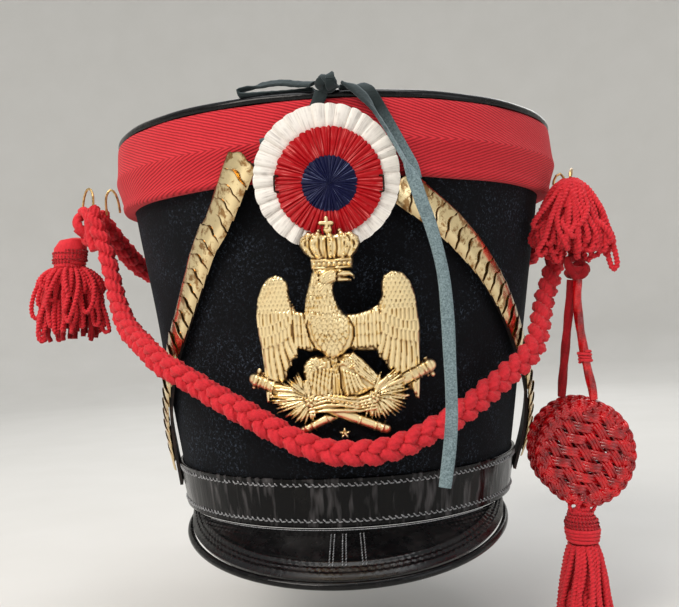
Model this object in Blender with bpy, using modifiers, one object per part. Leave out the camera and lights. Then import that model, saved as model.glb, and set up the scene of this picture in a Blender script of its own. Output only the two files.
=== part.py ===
"""Felt shako with a leather crown, a red wool band, a tricolour cockade, a stamped brass eagle,
brass chin scales tied up with a leather lace, and red braided cords with tassels and raquettes.

Frame: +Z up, the visor points to -Y, +X is the side of the raquettes. The origin is the centre of
the head opening, level with the lower edge of the felt. Sizes below are in millimetres.
"""
import math

import bmesh
import bpy
from mathutils import Matrix, Vector

MM = 0.001
GAP = 0.3                    # clearance between pieces that touch
ROUND = 72                   # facets round the hat

# Felt body: an oval at the head that opens to a circle at the crown
BODY_HEIGHT = 196.0
BASE_HALF_WIDTH = 90.0
BASE_HALF_LENGTH = 98.5
CROWN_RADIUS = 120.0
FELT_WALL = 2.5
FELT_BOTTOM = 0.8

# Red wool band: outer radius at each height, from the top edge down to the rolled lower edge
BAND_PROFILE = ((195.9, 121.9), (194.2, 122.9), (190.0, 123.2), (172.0, 123.2), (167.0, 122.6),
                (162.8, 121.0), (161.0, 119.4))

# Leather crown, (radius, height): a flat, the groove inside the rim, the rolled rim, the plug below
CROWN_FLAT = 195.8
CROWN_PLUG_RADIUS = CROWN_RADIUS - FELT_WALL - 2 * GAP
CROWN_PROFILE = ((0, CROWN_FLAT), (90, CROWN_FLAT), (92, 195.3), (107, 195.3), (112, 197.6), (116, 199.9),
                 (118, 200.2), (120.4, 199.9), (122.0, 198.9), (122.6, 197.6), (122.3, BODY_HEIGHT + GAP),
                 (CROWN_PLUG_RADIUS, BODY_HEIGHT + GAP), (CROWN_PLUG_RADIUS - 0.4, 193.2), (0, 193.2))

# Patent leather band at the base
BASE_BAND_TOP = 23.5
BASE_BAND_OUT = 1.9

# Visor
VISOR_HALF_WIDTH = 82.8
VISOR_REACH = 91.7
VISOR_CENTRE_Y = -39.0
VISOR_TIP_DROP = 16.6
VISOR_END_DROP = 2.6
VISOR_THICK = 2.2
VISOR_TOP = -0.3
VISOR_CROWNING = 1.5         # rise of the middle of the sheet where it is deepest
VISOR_DEPTH = 45.0
VISOR_SEAM_TURN = 64.4       # degrees from the front to each end of the seam under the base band
VISOR_SEAM_INSET = 1.5       # how far the visor's inner edge runs in under the felt
VISOR_END_TURN = 1.62        # radians along the outer edge: the bead runs past the sheet's ends
VISOR_SHEET_TURN = 1.50
VISOR_COLUMNS = 40
VISOR_ROWS = 4
BEAD_RADIUS = 1.8

# Cockade: three pleated rings, each turned from (radius, height over the back)
COCKADE_HEIGHT = 160.0
COCKADE_BACK = 124.7
COCKADE_TILT = 3.0           # degrees, its face turned down a little
WHITE_RADIUS = 32.2
RED_RADIUS = 23.4
BLUE_RADIUS = 11.8
WHITE_PROFILE = ((0, 1.6), (26.0, 1.6), (27.0, 3.0), (29.0, 3.3), (WHITE_RADIUS, 2.2), (WHITE_RADIUS, 0.8),
                 (WHITE_RADIUS - 0.8, 0), (0, 0))
RED_PROFILE = ((0, 3.6), (14.0, 3.6), (17, 4.6), (21, 4.4), (RED_RADIUS, 3.3), (RED_RADIUS, 2.5),
               (RED_RADIUS - 0.6, 1.9), (0, 1.9))
BLUE_PROFILE = ((0, 6.4), (5, 6.3), (9, 5.8), (BLUE_RADIUS, 4.8), (BLUE_RADIUS, 4.4),
                (BLUE_RADIUS - 0.5, 3.9), (0, 3.9))
RED_CENTRE = (1.0, -1.9)     # the red and navy rings sit a little off the white one's centre
BLUE_CENTRE = (1.2, -3.1)
STAPLES = {"cockade_staple_left": (-22.6, -2.2), "cockade_staple_right": (24.6, -4.2)}
STAPLE_ROUTE = ((-3.8, 4.6), (-2.8, 4.9), (0.0, 5.1), (2.8, 4.9), (3.8, 4.6))    # rise, depth
STAPLE_WIRE = 0.6
PIN_HEIGHT = 179.0
PIN_RADIUS = 2.0

# Eagle plate, bent to a cone round the hat's axis
PLATE_LOW, PLATE_LOW_RADIUS = 43.0, 103.9
PLATE_HIGH, PLATE_HIGH_RADIUS = 142.0, 131.9
PLATE_THICK = 2.0
PLATE_BENDS = range(-40, 41, 10)      # where the sheet is cut up so that it can bend

# Chin straps: leather backing with overlapping brass scales
STRAP_THICK = 1.6
SCALE_PITCH = 8.0
SCALE_RISE_LOW = 2.0
SCALE_RISE_HIGH = 3.2

# Cords
BRAID_RADIUS = 6.0
CORD_RADIUS = 2.3
WIRE_RADIUS = 0.7
LACE_WIDTH = 6.0
LACE_THICK = 1.6
TIE_THICK = 1.2
BRAID_SPACING = 13.0
CORD_SPACING = 6.0
LACE_SPACING = 5.0
TIE_SPACING = 4.0


# ---------------------------------------------------------------- scene and materials

def clear_scene():
    for item in list(bpy.data.objects):
        bpy.data.objects.remove(item, do_unlink=True)


def make_collection(name):
    group = bpy.data.collections.new(name)
    bpy.context.scene.collection.children.link(group)
    return group


def make_material(name, colour, roughness, metallic=0.0):
    material = bpy.data.materials.new(name)
    material.use_nodes = True
    shader = material.node_tree.nodes["Principled BSDF"]
    shader.inputs["Base Color"].default_value = (*colour, 1.0)
    shader.inputs["Roughness"].default_value = roughness
    shader.inputs["Metallic"].default_value = metallic
    return material


def add_object(name, data, material, parent):
    data.materials.clear()
    data.materials.append(material)
    item = bpy.data.objects.new(name, data)
    SHAKO.objects.link(item)
    item.parent = parent
    return item


# ---------------------------------------------------------------- shapes

def half_width(z):
    return BASE_HALF_WIDTH + (CROWN_RADIUS - BASE_HALF_WIDTH) * z / BODY_HEIGHT


def half_length(z):
    return BASE_HALF_LENGTH + (CROWN_RADIUS - BASE_HALF_LENGTH) * z / BODY_HEIGHT


def on_body(angle, z, out):
    """Point at an angle from the front (degrees, + to +X), `out` mm outside the felt."""
    turn = math.radians(angle)
    a, b = half_width(z) + out, half_length(z) + out
    reach = 1.0 / math.hypot(math.sin(turn) / a, math.cos(turn) / b)
    return Vector((reach * math.sin(turn), -reach * math.cos(turn), z))


def outward(angle):
    turn = math.radians(angle)
    return Vector((math.sin(turn), -math.cos(turn), 0.12)).normalized()


def oval_ring(a, b, z, centre=(0.0, 0.0), count=ROUND):
    turns = [2 * math.pi * i / count for i in range(count)]
    return [Vector((centre[0] + a * math.sin(t), centre[1] - b * math.cos(t), z)) for t in turns]


def body_ring(z, out):
    return oval_ring(half_width(z) + out, half_length(z) + out, z)


def loft(name, rings, material, parent, wrap=False):
    """Closed solid through rings of equal count, ring to ring; `wrap` joins the last to the first."""
    shape = bmesh.new()
    rows = [[shape.verts.new(point * MM) for point in ring] for ring in rings]
    count = len(rings[0])
    pairs = list(zip(rows, rows[1:]))
    if wrap:
        pairs.append((rows[-1], rows[0]))
    for lower, upper in pairs:
        for i in range(count):
            j = (i + 1) % count
            shape.faces.new((lower[i], lower[j], upper[j], upper[i]))
    if not wrap:
        shape.faces.new(rows[0][::-1])
        shape.faces.new(rows[-1])
    bmesh.ops.recalc_face_normals(shape, faces=shape.faces)
    mesh = bpy.data.meshes.new(name)
    shape.to_mesh(mesh)
    shape.free()
    mesh.shade_smooth()
    mesh.set_sharp_from_angle(angle=math.radians(35))
    return add_object(name, mesh, material, parent)


def turned(name, profile, steps, material, parent):
    """Turned solid: profile of (radius, height) down the outer side, from the axis to the axis."""
    mesh = bpy.data.meshes.new(name)
    edges = [(i, i + 1) for i in range(len(profile) - 1)]
    mesh.from_pydata([(r * MM, 0.0, z * MM) for r, z in profile], edges, [])
    item = add_object(name, mesh, material, parent)
    screw = item.modifiers.new("turn", "SCREW")
    screw.steps = steps
    screw.render_steps = steps
    screw.use_merge_vertices = True
    screw.merge_threshold = 0.00001
    return item


def smooth_points(route, spacing):
    """Points about `spacing` mm apart on a smooth curve through the route's own points."""
    points = [Vector(p) for p in route]
    before = points[0] * 2 - points[1]
    after = points[-1] * 2 - points[-2]
    padded = [before] + points + [after]
    result = [points[0]]
    for a, b, c, d in zip(padded, padded[1:], padded[2:], padded[3:]):
        pieces = max(1, round((c - b).length / spacing))
        for k in range(1, pieces + 1):
            t = k / pieces
            result.append(0.5 * (2 * b + (c - a) * t + (2 * a - 5 * b + 4 * c - d) * t * t
                                 + (3 * b - a - 3 * c + d) * t ** 3))
    return result


def tube(name, route, radius, spacing, material, parent, smooth=True):
    points = smooth_points(route, spacing) if smooth else [Vector(p) for p in route]
    curve = bpy.data.curves.new(name, "CURVE")
    curve.dimensions = "3D"
    curve.bevel_depth = radius * MM
    curve.bevel_resolution = 2
    curve.use_fill_caps = True
    spline = curve.splines.new("POLY")
    spline.points.add(len(points) - 1)
    for slot, point in zip(spline.points, points):
        slot.co = (*(point * MM), 1.0)
    return add_object(name, curve, material, parent)


def strip(name, rows, width, thick, spacing, material, parent):
    """Flat strip along rows of (point, face normal); its face is widened across the route."""
    points = smooth_points([row[0] for row in rows], spacing)
    normals = [Vector(rows[0][1])]
    for (start, first), (end, last) in zip(rows, rows[1:]):
        pieces = max(1, round((Vector(end) - Vector(start)).length / spacing))
        normals += [Vector(first).lerp(Vector(last), k / pieces) for k in range(1, pieces + 1)]
    shape = bmesh.new()
    edges = []
    for i, (point, normal) in enumerate(zip(points, normals)):
        along = (points[min(i + 1, len(points) - 1)] - points[max(i - 1, 0)]).normalized()
        across = along.cross(normal).normalized() * width / 2
        edges.append((shape.verts.new((point - across) * MM), shape.verts.new((point + across) * MM)))
    for (a, b), (c, d) in zip(edges, edges[1:]):
        shape.faces.new((a, b, d, c))
    mesh = bpy.data.meshes.new(name)
    shape.to_mesh(mesh)
    shape.free()
    item = add_object(name, mesh, material, parent)
    wall = item.modifiers.new("thickness", "SOLIDIFY")
    wall.thickness = thick * MM
    wall.offset = 0.0
    cut = item.modifiers.new("triangles", "TRIANGULATE")
    cut.quad_method = "FIXED"
    return item


# ---------------------------------------------------------------- hat body

def build_body(parent):
    loft("felt_shell", [body_ring(FELT_BOTTOM, 0), body_ring(BODY_HEIGHT, 0),
                        body_ring(BODY_HEIGHT, -FELT_WALL), body_ring(FELT_BOTTOM, -FELT_WALL)],
         FELT, parent, wrap=True)

    top, bottom = BAND_PROFILE[0][0], BAND_PROFILE[-1][0]
    outside = [oval_ring(radius, radius, z) for z, radius in reversed(BAND_PROFILE)]
    loft("top_band", outside + [body_ring(top, GAP), body_ring(bottom, GAP)], RED_WOOL, parent, wrap=True)

    loft("base_band", [body_ring(0.0, BASE_BAND_OUT), body_ring(BASE_BAND_TOP, BASE_BAND_OUT),
                       body_ring(BASE_BAND_TOP, GAP), body_ring(0.0, GAP)], PATENT, parent, wrap=True)

    turned("crown_top", CROWN_PROFILE, ROUND, PATENT, parent)


def visor_edge(turn):
    """Point on the visor's outer edge; `turn` is 0 at the tip."""
    end = math.cos(VISOR_END_TURN)
    drop = VISOR_END_DROP + (VISOR_TIP_DROP - VISOR_END_DROP) * (math.cos(turn) - end) / (1 - end)
    return Vector((VISOR_HALF_WIDTH * math.sin(turn), VISOR_CENTRE_Y - VISOR_REACH * math.cos(turn), -drop))


def build_visor(parent):
    columns, rows = VISOR_COLUMNS, VISOR_ROWS
    seam = math.radians(VISOR_SEAM_TURN) / VISOR_SHEET_TURN
    shape = bmesh.new()
    grid = []
    for i in range(columns + 1):
        turn = VISOR_SHEET_TURN * (2 * i / columns - 1)
        inner, hinge = (Vector(((BASE_HALF_WIDTH + out) * math.sin(turn * seam),
                                -(BASE_HALF_LENGTH + out) * math.cos(turn * seam), VISOR_TOP))
                        for out in (-VISOR_SEAM_INSET, BASE_BAND_OUT - 2 * GAP))
        bead = visor_edge(turn)
        outer = bead + (hinge - bead).normalized() * (BEAD_RADIUS + 2 * GAP)
        line = [shape.verts.new(inner * MM)]
        for k in range(rows + 1):
            point = hinge.lerp(outer, k / rows)
            depth_share = (outer - hinge).length / VISOR_DEPTH
            point.z += VISOR_CROWNING * math.sin(math.pi * k / rows) * depth_share
            line.append(shape.verts.new(point * MM))
        grid.append(line)
    for left, right in zip(grid, grid[1:]):
        for k in range(rows + 1):
            shape.faces.new((left[k], left[k + 1], right[k + 1], right[k]))
    mesh = bpy.data.meshes.new("visor")
    shape.to_mesh(mesh)
    shape.free()
    visor = add_object("visor", mesh, PATENT, parent)
    wall = visor.modifiers.new("thickness", "SOLIDIFY")
    wall.thickness = VISOR_THICK * MM
    wall.offset = -1.0

    steps = 36
    bead = [visor_edge(VISOR_END_TURN * (2 * i / steps - 1)) for i in range(steps + 1)]
    bead = [Vector((p.x, p.y, p.z - VISOR_THICK / 2)) for p in bead]
    tube("visor_rim", bead, BEAD_RADIUS, 8.0, PATENT, parent, smooth=False)


# ---------------------------------------------------------------- cockade

def build_cockade(parent):
    mount = bpy.data.objects.new("cockade_centre", None)
    SHAKO.objects.link(mount)
    mount.parent = parent
    mount.location = (0.0, -COCKADE_BACK * MM, COCKADE_HEIGHT * MM)
    mount.rotation_euler = (math.radians(90 + COCKADE_TILT), 0.0, 0.0)

    turned("cockade_white", WHITE_PROFILE, 56, WHITE_SATIN, mount)
    red = turned("cockade_red", RED_PROFILE, 48, RED_SATIN, mount)
    red.location = (RED_CENTRE[0] * MM, RED_CENTRE[1] * MM, 0.0)
    blue = turned("cockade_blue", BLUE_PROFILE, 40, BLUE_SATIN, mount)
    blue.location = (BLUE_CENTRE[0] * MM, BLUE_CENTRE[1] * MM, 0.0)

    band_face = BAND_PROFILE[3][1]
    lean = (PIN_HEIGHT - COCKADE_HEIGHT) * math.tan(math.radians(COCKADE_TILT))
    pin_front, pin_back = COCKADE_BACK + lean - 1.5 * GAP, band_face + GAP
    pin = turned("cockade_pin", ((0, pin_front), (PIN_RADIUS, pin_front), (PIN_RADIUS, pin_back),
                                 (0, pin_back)), 16, BRASS, parent)
    pin.location = (0.0, 0.0, PIN_HEIGHT * MM)
    pin.rotation_euler = (math.radians(90), 0.0, 0.0)

    for name, (x, y) in STAPLES.items():
        tube(name, [(x, y + rise, depth) for rise, depth in STAPLE_ROUTE], STAPLE_WIRE, 2.0, BRASS, mount)


# ---------------------------------------------------------------- eagle plate

# Outline of the stamped plate, (x, z) in mm, clockwise from the cross on the crown
PLATE_OUTLINE = (
    (-2.5, 141.0), (2.5, 141.0), (3.5, 137.0), (0.9, 134.8), (9.0, 134.8), (13.3, 130.5), (12.2, 125.8),
    (8.6, 120.6), (8.6, 118.3), (10.6, 115.6), (6.5, 114.0), (1.2, 112.6), (0.8, 108.0), (3.4, 101.5),
    (13.8, 100.8), (20.4, 104.2), (21.6, 110.5), (24.0, 116.8), (28.2, 118.0), (33.0, 113.5),
    (37.0, 105.0), (39.0, 91.0), (38.3, 79.5), (45.0, 77.0), (46.3, 71.5), (43.0, 70.3), (38.0, 67.5),
    (37.6, 58.5), (33.4, 61.2), (32.0, 54.0), (22.8, 50.6), (24.0, 44.6), (13.0, 44.4), (3.0, 43.4),
    (-6.0, 46.5), (-15.5, 47.0), (-15.0, 51.0), (-19.5, 50.0), (-27.5, 54.8), (-32.2, 59.5),
    (-33.0, 66.0), (-39.4, 67.4), (-38.0, 74.4), (-32.6, 74.0), (-32.8, 84.5), (-35.6, 95.0),
    (-34.4, 107.5), (-30.0, 116.0), (-24.0, 118.4), (-19.4, 114.4), (-18.0, 104.5), (-13.0, 101.0),
    (-11.8, 108.0), (-7.8, 116.0), (-7.4, 120.4), (-11.8, 125.5), (-13.2, 130.5), (-9.0, 134.5),
    (-0.9, 134.8), (-3.5, 137.0))
# Windows between the wings and the thighs
PLATE_WINDOWS = (
    ((18.6, 82.8), (11.0, 81.0), (22.8, 70.5), (25.0, 72.8)),
    ((-17.0, 83.2), (-12.2, 81.2), (-15.4, 76.8), (-14.4, 70.8), (-20.2, 72.4), (-21.4, 76.4)))


def plate_radius(z):
    share = (z - PLATE_LOW) / (PLATE_HIGH - PLATE_LOW)
    return PLATE_LOW_RADIUS + (PLATE_HIGH_RADIUS - PLATE_LOW_RADIUS) * share


def build_plate(parent):
    curve = bpy.data.curves.new("plate_outline", "CURVE")
    curve.dimensions = "2D"
    curve.fill_mode = "BOTH"
    curve.extrude = PLATE_THICK / 2 * MM
    for outline in (PLATE_OUTLINE, *PLATE_WINDOWS):
        spline = curve.splines.new("POLY")
        spline.use_cyclic_u = True
        spline.points.add(len(outline) - 1)
        for slot, (x, z) in zip(spline.points, outline):
            slot.co = (x * MM, z * MM, 0.0, 1.0)
    flat = bpy.data.objects.new("plate_outline", curve)
    SHAKO.objects.link(flat)
    bpy.context.view_layer.update()
    mesh = bpy.data.meshes.new_from_object(flat.evaluated_get(bpy.context.evaluated_depsgraph_get()))
    bpy.data.objects.remove(flat)

    shape = bmesh.new()
    shape.from_mesh(mesh)
    bmesh.ops.remove_doubles(shape, verts=shape.verts, dist=0.00001)
    for x in PLATE_BENDS:
        everything = shape.verts[:] + shape.edges[:] + shape.faces[:]
        bmesh.ops.bisect_plane(shape, geom=everything, plane_co=(x * MM, 0, 0), plane_no=(1, 0, 0))
    for vert in shape.verts:
        x, z, depth = vert.co.x / MM, vert.co.y / MM, vert.co.z / MM
        radius = plate_radius(z) + PLATE_THICK / 2 + depth
        vert.co = Vector((x, -math.sqrt(radius ** 2 - x ** 2), z)) * MM
    bmesh.ops.recalc_face_normals(shape, faces=shape.faces)
    shape.to_mesh(mesh)
    shape.free()
    add_object("eagle_plate", mesh, BRASS, parent)


# ---------------------------------------------------------------- chin straps

# Route of each strap: angle from the front, height, distance of the leather's back from the felt
STRAP_LEFT = ((-16.9, 171.0, 7.6), (-19.6, 162.0, 7.6), (-23.7, 151.0, 4.2), (-27.4, 142.5, 2.2),
              (-31.2, 134.5, 1.5), (-36.7, 118.5, 1.3), (-43.2, 101.5, 1.3), (-51.6, 84.5, 1.3),
              (-62.0, 64.0, 1.4), (-71.5, 45.0, 1.7), (-76.5, 28.0, 2.2), (-80.0, 11.0, 2.5))
STRAP_RIGHT = ((18.5, 152.0, 4.0), (23.5, 145.5, 2.4), (30.0, 136.5, 1.5), (38.5, 122.5, 1.3),
               (47.0, 107.0, 1.3), (56.0, 90.0, 1.6), (66.0, 71.0, 3.0), (75.0, 51.0, 4.8),
               (81.0, 31.0, 4.8), (84.5, 11.0, 2.3))
STRAP_TOP_WIDTH = 17.2
STRAP_END_WIDTH = 13.6
STRAP_TIP_SHARE = 0.7        # width of the first scale's rounded tip, of the strap's
SCALE_LAP = 0.94             # how far along its pitch each scale rises before the next begins
SCALE_ARCH = ((-1, 0), (-1, 0.25), (-0.62, 0.78), (0, 1), (0.62, 0.78), (1, 0.25), (1, 0))


def build_strap(name, route, parent):
    rows = [(on_body(angle, z, out + STRAP_THICK / 2), outward(angle)) for angle, z, out in route]
    strip("chin_strap_" + name, rows, STRAP_END_WIDTH - 1.0, STRAP_THICK, 5.0, LEATHER, parent)

    middle = smooth_points([on_body(a, z, out + STRAP_THICK + 2 * GAP) for a, z, out in route], 1.0)
    length = sum((q - p).length for p, q in zip(middle, middle[1:]))
    count = round(length / SCALE_PITCH)
    rings = []
    for i in range(count):
        for share, rise in ((0.0, SCALE_RISE_LOW), (SCALE_LAP, SCALE_RISE_HIGH)):
            spot = (i + share) / count * (len(middle) - 1)
            k = min(int(spot), len(middle) - 2)
            point = middle[k].lerp(middle[k + 1], spot - k)
            along = (middle[k + 1] - middle[k]).normalized()
            angle = math.degrees(math.atan2(point.x, -point.y))
            up = outward(angle)
            across = along.cross(up).normalized()
            up = across.cross(along)
            half = (STRAP_TOP_WIDTH + (STRAP_END_WIDTH - STRAP_TOP_WIDTH) * spot / len(middle)) / 2
            half *= STRAP_TIP_SHARE if spot == 0 else 1.0
            rings.append([point + across * half * u + up * rise * v for u, v in SCALE_ARCH])
    loft("chin_scales_" + name, rings, BRASS, parent)


# ---------------------------------------------------------------- hooks, braids, tassels

# Routes in mm. Those of the cords are repeated where the visual model is made.
HOOKS = {
    "band_hook_left": ((-123.1, -18.0, 164.0), (-123.6, -18.0, 169.0), (-125.2, -18.0, 174.6),
                       (-128.0, -18.0, 177.4), (-130.6, -18.0, 174.0), (-131.0, -18.0, 168.5),
                       (-130.5, -18.2, 163.0)),
    "cord_hook_left": ((-138.6, -17.4, 168.1), (-138.6, -17.0, 174.0), (-140.5, -14.5, 178.6),
                       (-143.4, -12.0, 179.2), (-146.2, -9.0, 175.6), (-148.4, -6.0, 169.5),
                       (-149.6, -4.2, 165.7)),
    "band_hook_right": ((122.6, -20.0, 167.4), (122.9, -20.0, 169.6), (124.4, -20.2, 172.4),
                        (126.6, -20.6, 173.4), (128.2, -20.8, 171.4), (128.5, -20.6, 168.8),
                        (128.4, -20.6, 165.6)),
    "cord_hook_right": ((130.6, -22.6, 165.6), (130.8, -24.2, 169.0), (130.2, -31.5, 171.8),
                        (128.8, -38.0, 172.4), (127.0, -44.5, 171.6), (125.0, -49.6, 169.0),
                        (124.4, -51.8, 166.3))}


def on_hat(*rows):
    return [tuple(on_body(angle, z, out)) for angle, z, out in rows]


def braid_routes():
    front = [(-138.5, -18.0, 167.5), (-136.2, -18.5, 156.0), (-132.2, -20.0, 145.5), (-129.2, -22.5, 135.4),
             (-126.2, -26.0, 125.4), (-123.4, -31.0, 115.6), (-118.6, -38.5, 105.8), (-112.0, -49.0, 97.6)]
    front += on_hat((-60.0, 91.2, 15.0), (-54.0, 86.0, 14.3), (-48.5, 80.0, 13.5), (-43.5, 75.6, 12.6),
                    (-38.6, 70.4, 10.4), (-33.0, 65.2, 9.4), (-27.4, 60.2, 9.0), (-20.9, 53.4, 9.0),
                    (-13.7, 46.0, 8.8), (-8.0, 40.8, 8.8), (-2.5, 37.2, 8.8), (3.4, 36.0, 8.8),
                    (8.6, 36.3, 8.8), (14.5, 38.4, 8.8), (21.5, 43.0, 9.0), (29.0, 49.0, 9.4),
                    (35.4, 55.8, 10.0), (41.4, 62.2, 11.4), (47.3, 68.8, 12.8), (53.0, 76.0, 15.0),
                    (58.0, 84.6, 15.2))
    front += [(105.6, -54.0, 94.6), (109.2, -46.0, 103.8), (112.8, -40.5, 111.0), (117.4, -34.0, 120.0),
              (121.4, -28.8, 132.0), (125.2, -24.6, 147.0), (127.8, -21.6, 157.6), (128.4, -20.6, 165.0)]
    back = [(-137.6, -5.0, 166.8), (-136.8, -3.0, 161.0), (-134.4, 5.0, 153.0), (-130.4, 18.0, 144.4),
            (-124.0, 34.0, 135.0)]
    back += on_hat((-117.0, 123.0, 10.5), (-128.0, 108.0, 9.0), (-141.0, 92.5, 8.4), (-154.0, 80.5, 8.2),
                   (-167.0, 73.5, 8.2), (-180.0, 71.0, 8.2), (167.0, 73.5, 8.2), (154.0, 80.5, 8.2),
                   (141.0, 92.5, 8.4), (128.0, 108.0, 9.0), (115.0, 123.5, 10.6))
    back += [(122.6, 33.0, 136.0), (128.6, 16.0, 145.0), (131.2, 2.0, 153.0), (131.0, -6.6, 160.0),
             (130.8, -7.8, 165.0)]
    return front, back


# Solids of revolution and ovals: height, centre x, centre y, half width in x, half width in y
LEFT_KNOT = ((165.0, -149.6, -4, 2.5, 2.5), (163.0, -149.6, -4, 5.8, 5.8), (159.0, -149.8, -4, 7.2, 6.6),
             (155.0, -150.4, -3.6, 6.8, 6.4), (152.8, -151.0, -3.4, 4.0, 4.0))
LEFT_HEAD = ((152.5, -154.2, -3, 3.4, 3.4), (151.2, -156.0, -3, 8.2, 7.8), (146.6, -157.6, -2.8, 10.2, 9.2),
             (139.6, -158.4, -2.6, 10.4, 9.2), (135.0, -158.8, -2.4, 9.0, 8.2))
LEFT_FRINGE = ((134.7, -158.8, -2.4, 8.6, 8.0), (130.0, -158.6, -2.2, 13.6, 9.8),
               (120.0, -158.6, -2.0, 19.4, 11.4), (106.0, -158.8, -2.0, 23.6, 12.6),
               (95.0, -158.8, -2.0, 24.6, 13.0), (91.4, -158.8, -2.0, 22.0, 11.0))
RIGHT_MOP = ((165.3, 124.4, -52, 3.0, 2.6), (163.6, 124.2, -52, 7.6, 6.4), (157.6, 124.0, -52, 12.8, 10.0),
             (148.0, 123.4, -52, 18.4, 13.0), (137.0, 122.9, -52, 21.6, 14.0),
             (128.0, 122.9, -52, 21.2, 13.6), (123.4, 123.4, -52, 17.0, 11.0))
RIGHT_KNOT = ((123.1, 125.2, -51, 3.4, 3.4), (121.0, 125.2, -51, 5.2, 4.8), (116.6, 125.2, -51, 5.4, 5.0),
              (113.0, 125.0, -51, 3.4, 3.4))
RAQUETTE_HEAD = ((-5.1, 121.0, -50, 3.0, 3.0), (-8.0, 121.2, -50, 6.6, 6.4), (-13.0, 121.6, -50, 9.0, 8.6),
                 (-19.0, 122.0, -50, 9.4, 9.0), (-24.0, 122.0, -50, 8.0, 7.8))
RAQUETTE_FRINGE = ((-24.3, 122.0, -50, 7.8, 7.6), (-30.0, 122.0, -50, 10.2, 9.6),
                   (-44.0, 122.0, -50, 13.0, 12.0), (-60.0, 122.0, -50, 15.4, 13.6),
                   (-69.0, 122.0, -50, 15.8, 13.8), (-72.0, 122.0, -50, 14.0, 12.0))

# Section of a raquette's mat: share of its radius, share of its thickness
MAT_PROFILE = ((0.0, 0.30), (0.72, 0.30), (0.80, 0.5), (0.94, 0.5), (1.0, 0.22), (1.0, -0.22),
               (0.94, -0.5), (0.80, -0.5), (0.72, -0.30), (0.0, -0.30))
RAQUETTE_FRONT = {"centre": (125.0, -52.0, 22.4), "half": (25.4, 27.2), "thick": 5.0}
RAQUETTE_BACK = {"centre": (121.6, -46.3, 25.4), "half": (25.2, 26.2), "thick": 5.0}
CORD_BACK_ROUTE = ((122.7, -50.4, 112.6), (121.6, -50.2, 104.6), (120.5, -50.2, 96.0),
                   (118.8, -50.0, 84.0), (117.3, -49.2, 72.0), (116.0, -47.8, 60.0), (115.4, -46.4, 51.9))
CORD_FRONT_ROUTE = ((124.8, -54.8, 112.6), (124.2, -54.7, 104.6), (124.6, -54.0, 92.0),
                    (126.0, -53.4, 80.0), (128.0, -53.0, 66.0), (130.0, -52.4, 56.0), (130.6, -52.2, 50.0))


def build_oval_stack(name, rows, material, parent, count=20):
    rings = [oval_ring(a, b, z, (x, y), count) for z, x, y, a, b in rows]
    loft(name, rings, material, parent)


def build_raquette(name, size, parent):
    """Round woven mat, flat to the front, with a thicker rim."""
    half_x, half_z = size["half"]
    mat = turned(name, [(share * half_x, level * size["thick"]) for share, level in MAT_PROFILE],
                 40, RED_CORD, parent)
    mat.matrix_local = (Matrix.Translation(Vector(size["centre"]) * MM)
                        @ Matrix.Diagonal((1.0, 1.0, half_z / half_x, 1.0))
                        @ Matrix.Rotation(math.radians(90), 4, "X"))


def build_cords(parent):
    for name, route in HOOKS.items():
        tube(name, route, WIRE_RADIUS, 2.5, BRASS, parent)
    front, back = braid_routes()
    tube("front_braid", front, BRAID_RADIUS, BRAID_SPACING, RED_WOOL, parent)
    tube("back_braid", back, BRAID_RADIUS, BRAID_SPACING, RED_WOOL, parent)
    build_oval_stack("left_knot", LEFT_KNOT, RED_CORD, parent, 16)
    build_oval_stack("left_tassel_head", LEFT_HEAD, RED_CORD, parent)
    build_oval_stack("left_tassel_fringe", LEFT_FRINGE, RED_WOOL, parent)
    build_oval_stack("right_tassel_mop", RIGHT_MOP, RED_WOOL, parent)
    build_oval_stack("right_knot", RIGHT_KNOT, RED_CORD, parent, 16)
    build_raquette("raquette_front", RAQUETTE_FRONT, parent)
    build_raquette("raquette_back", RAQUETTE_BACK, parent)
    tube("raquette_cord_back", CORD_BACK_ROUTE, CORD_RADIUS, CORD_SPACING, RED_CORD, parent)
    tube("raquette_cord_front", CORD_FRONT_ROUTE, CORD_RADIUS, CORD_SPACING, RED_CORD, parent)
    build_oval_stack("raquette_tassel_head", RAQUETTE_HEAD, RED_CORD, parent)
    build_oval_stack("raquette_tassel_fringe", RAQUETTE_FRINGE, RED_WOOL, parent)


# ---------------------------------------------------------------- leather lace

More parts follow.
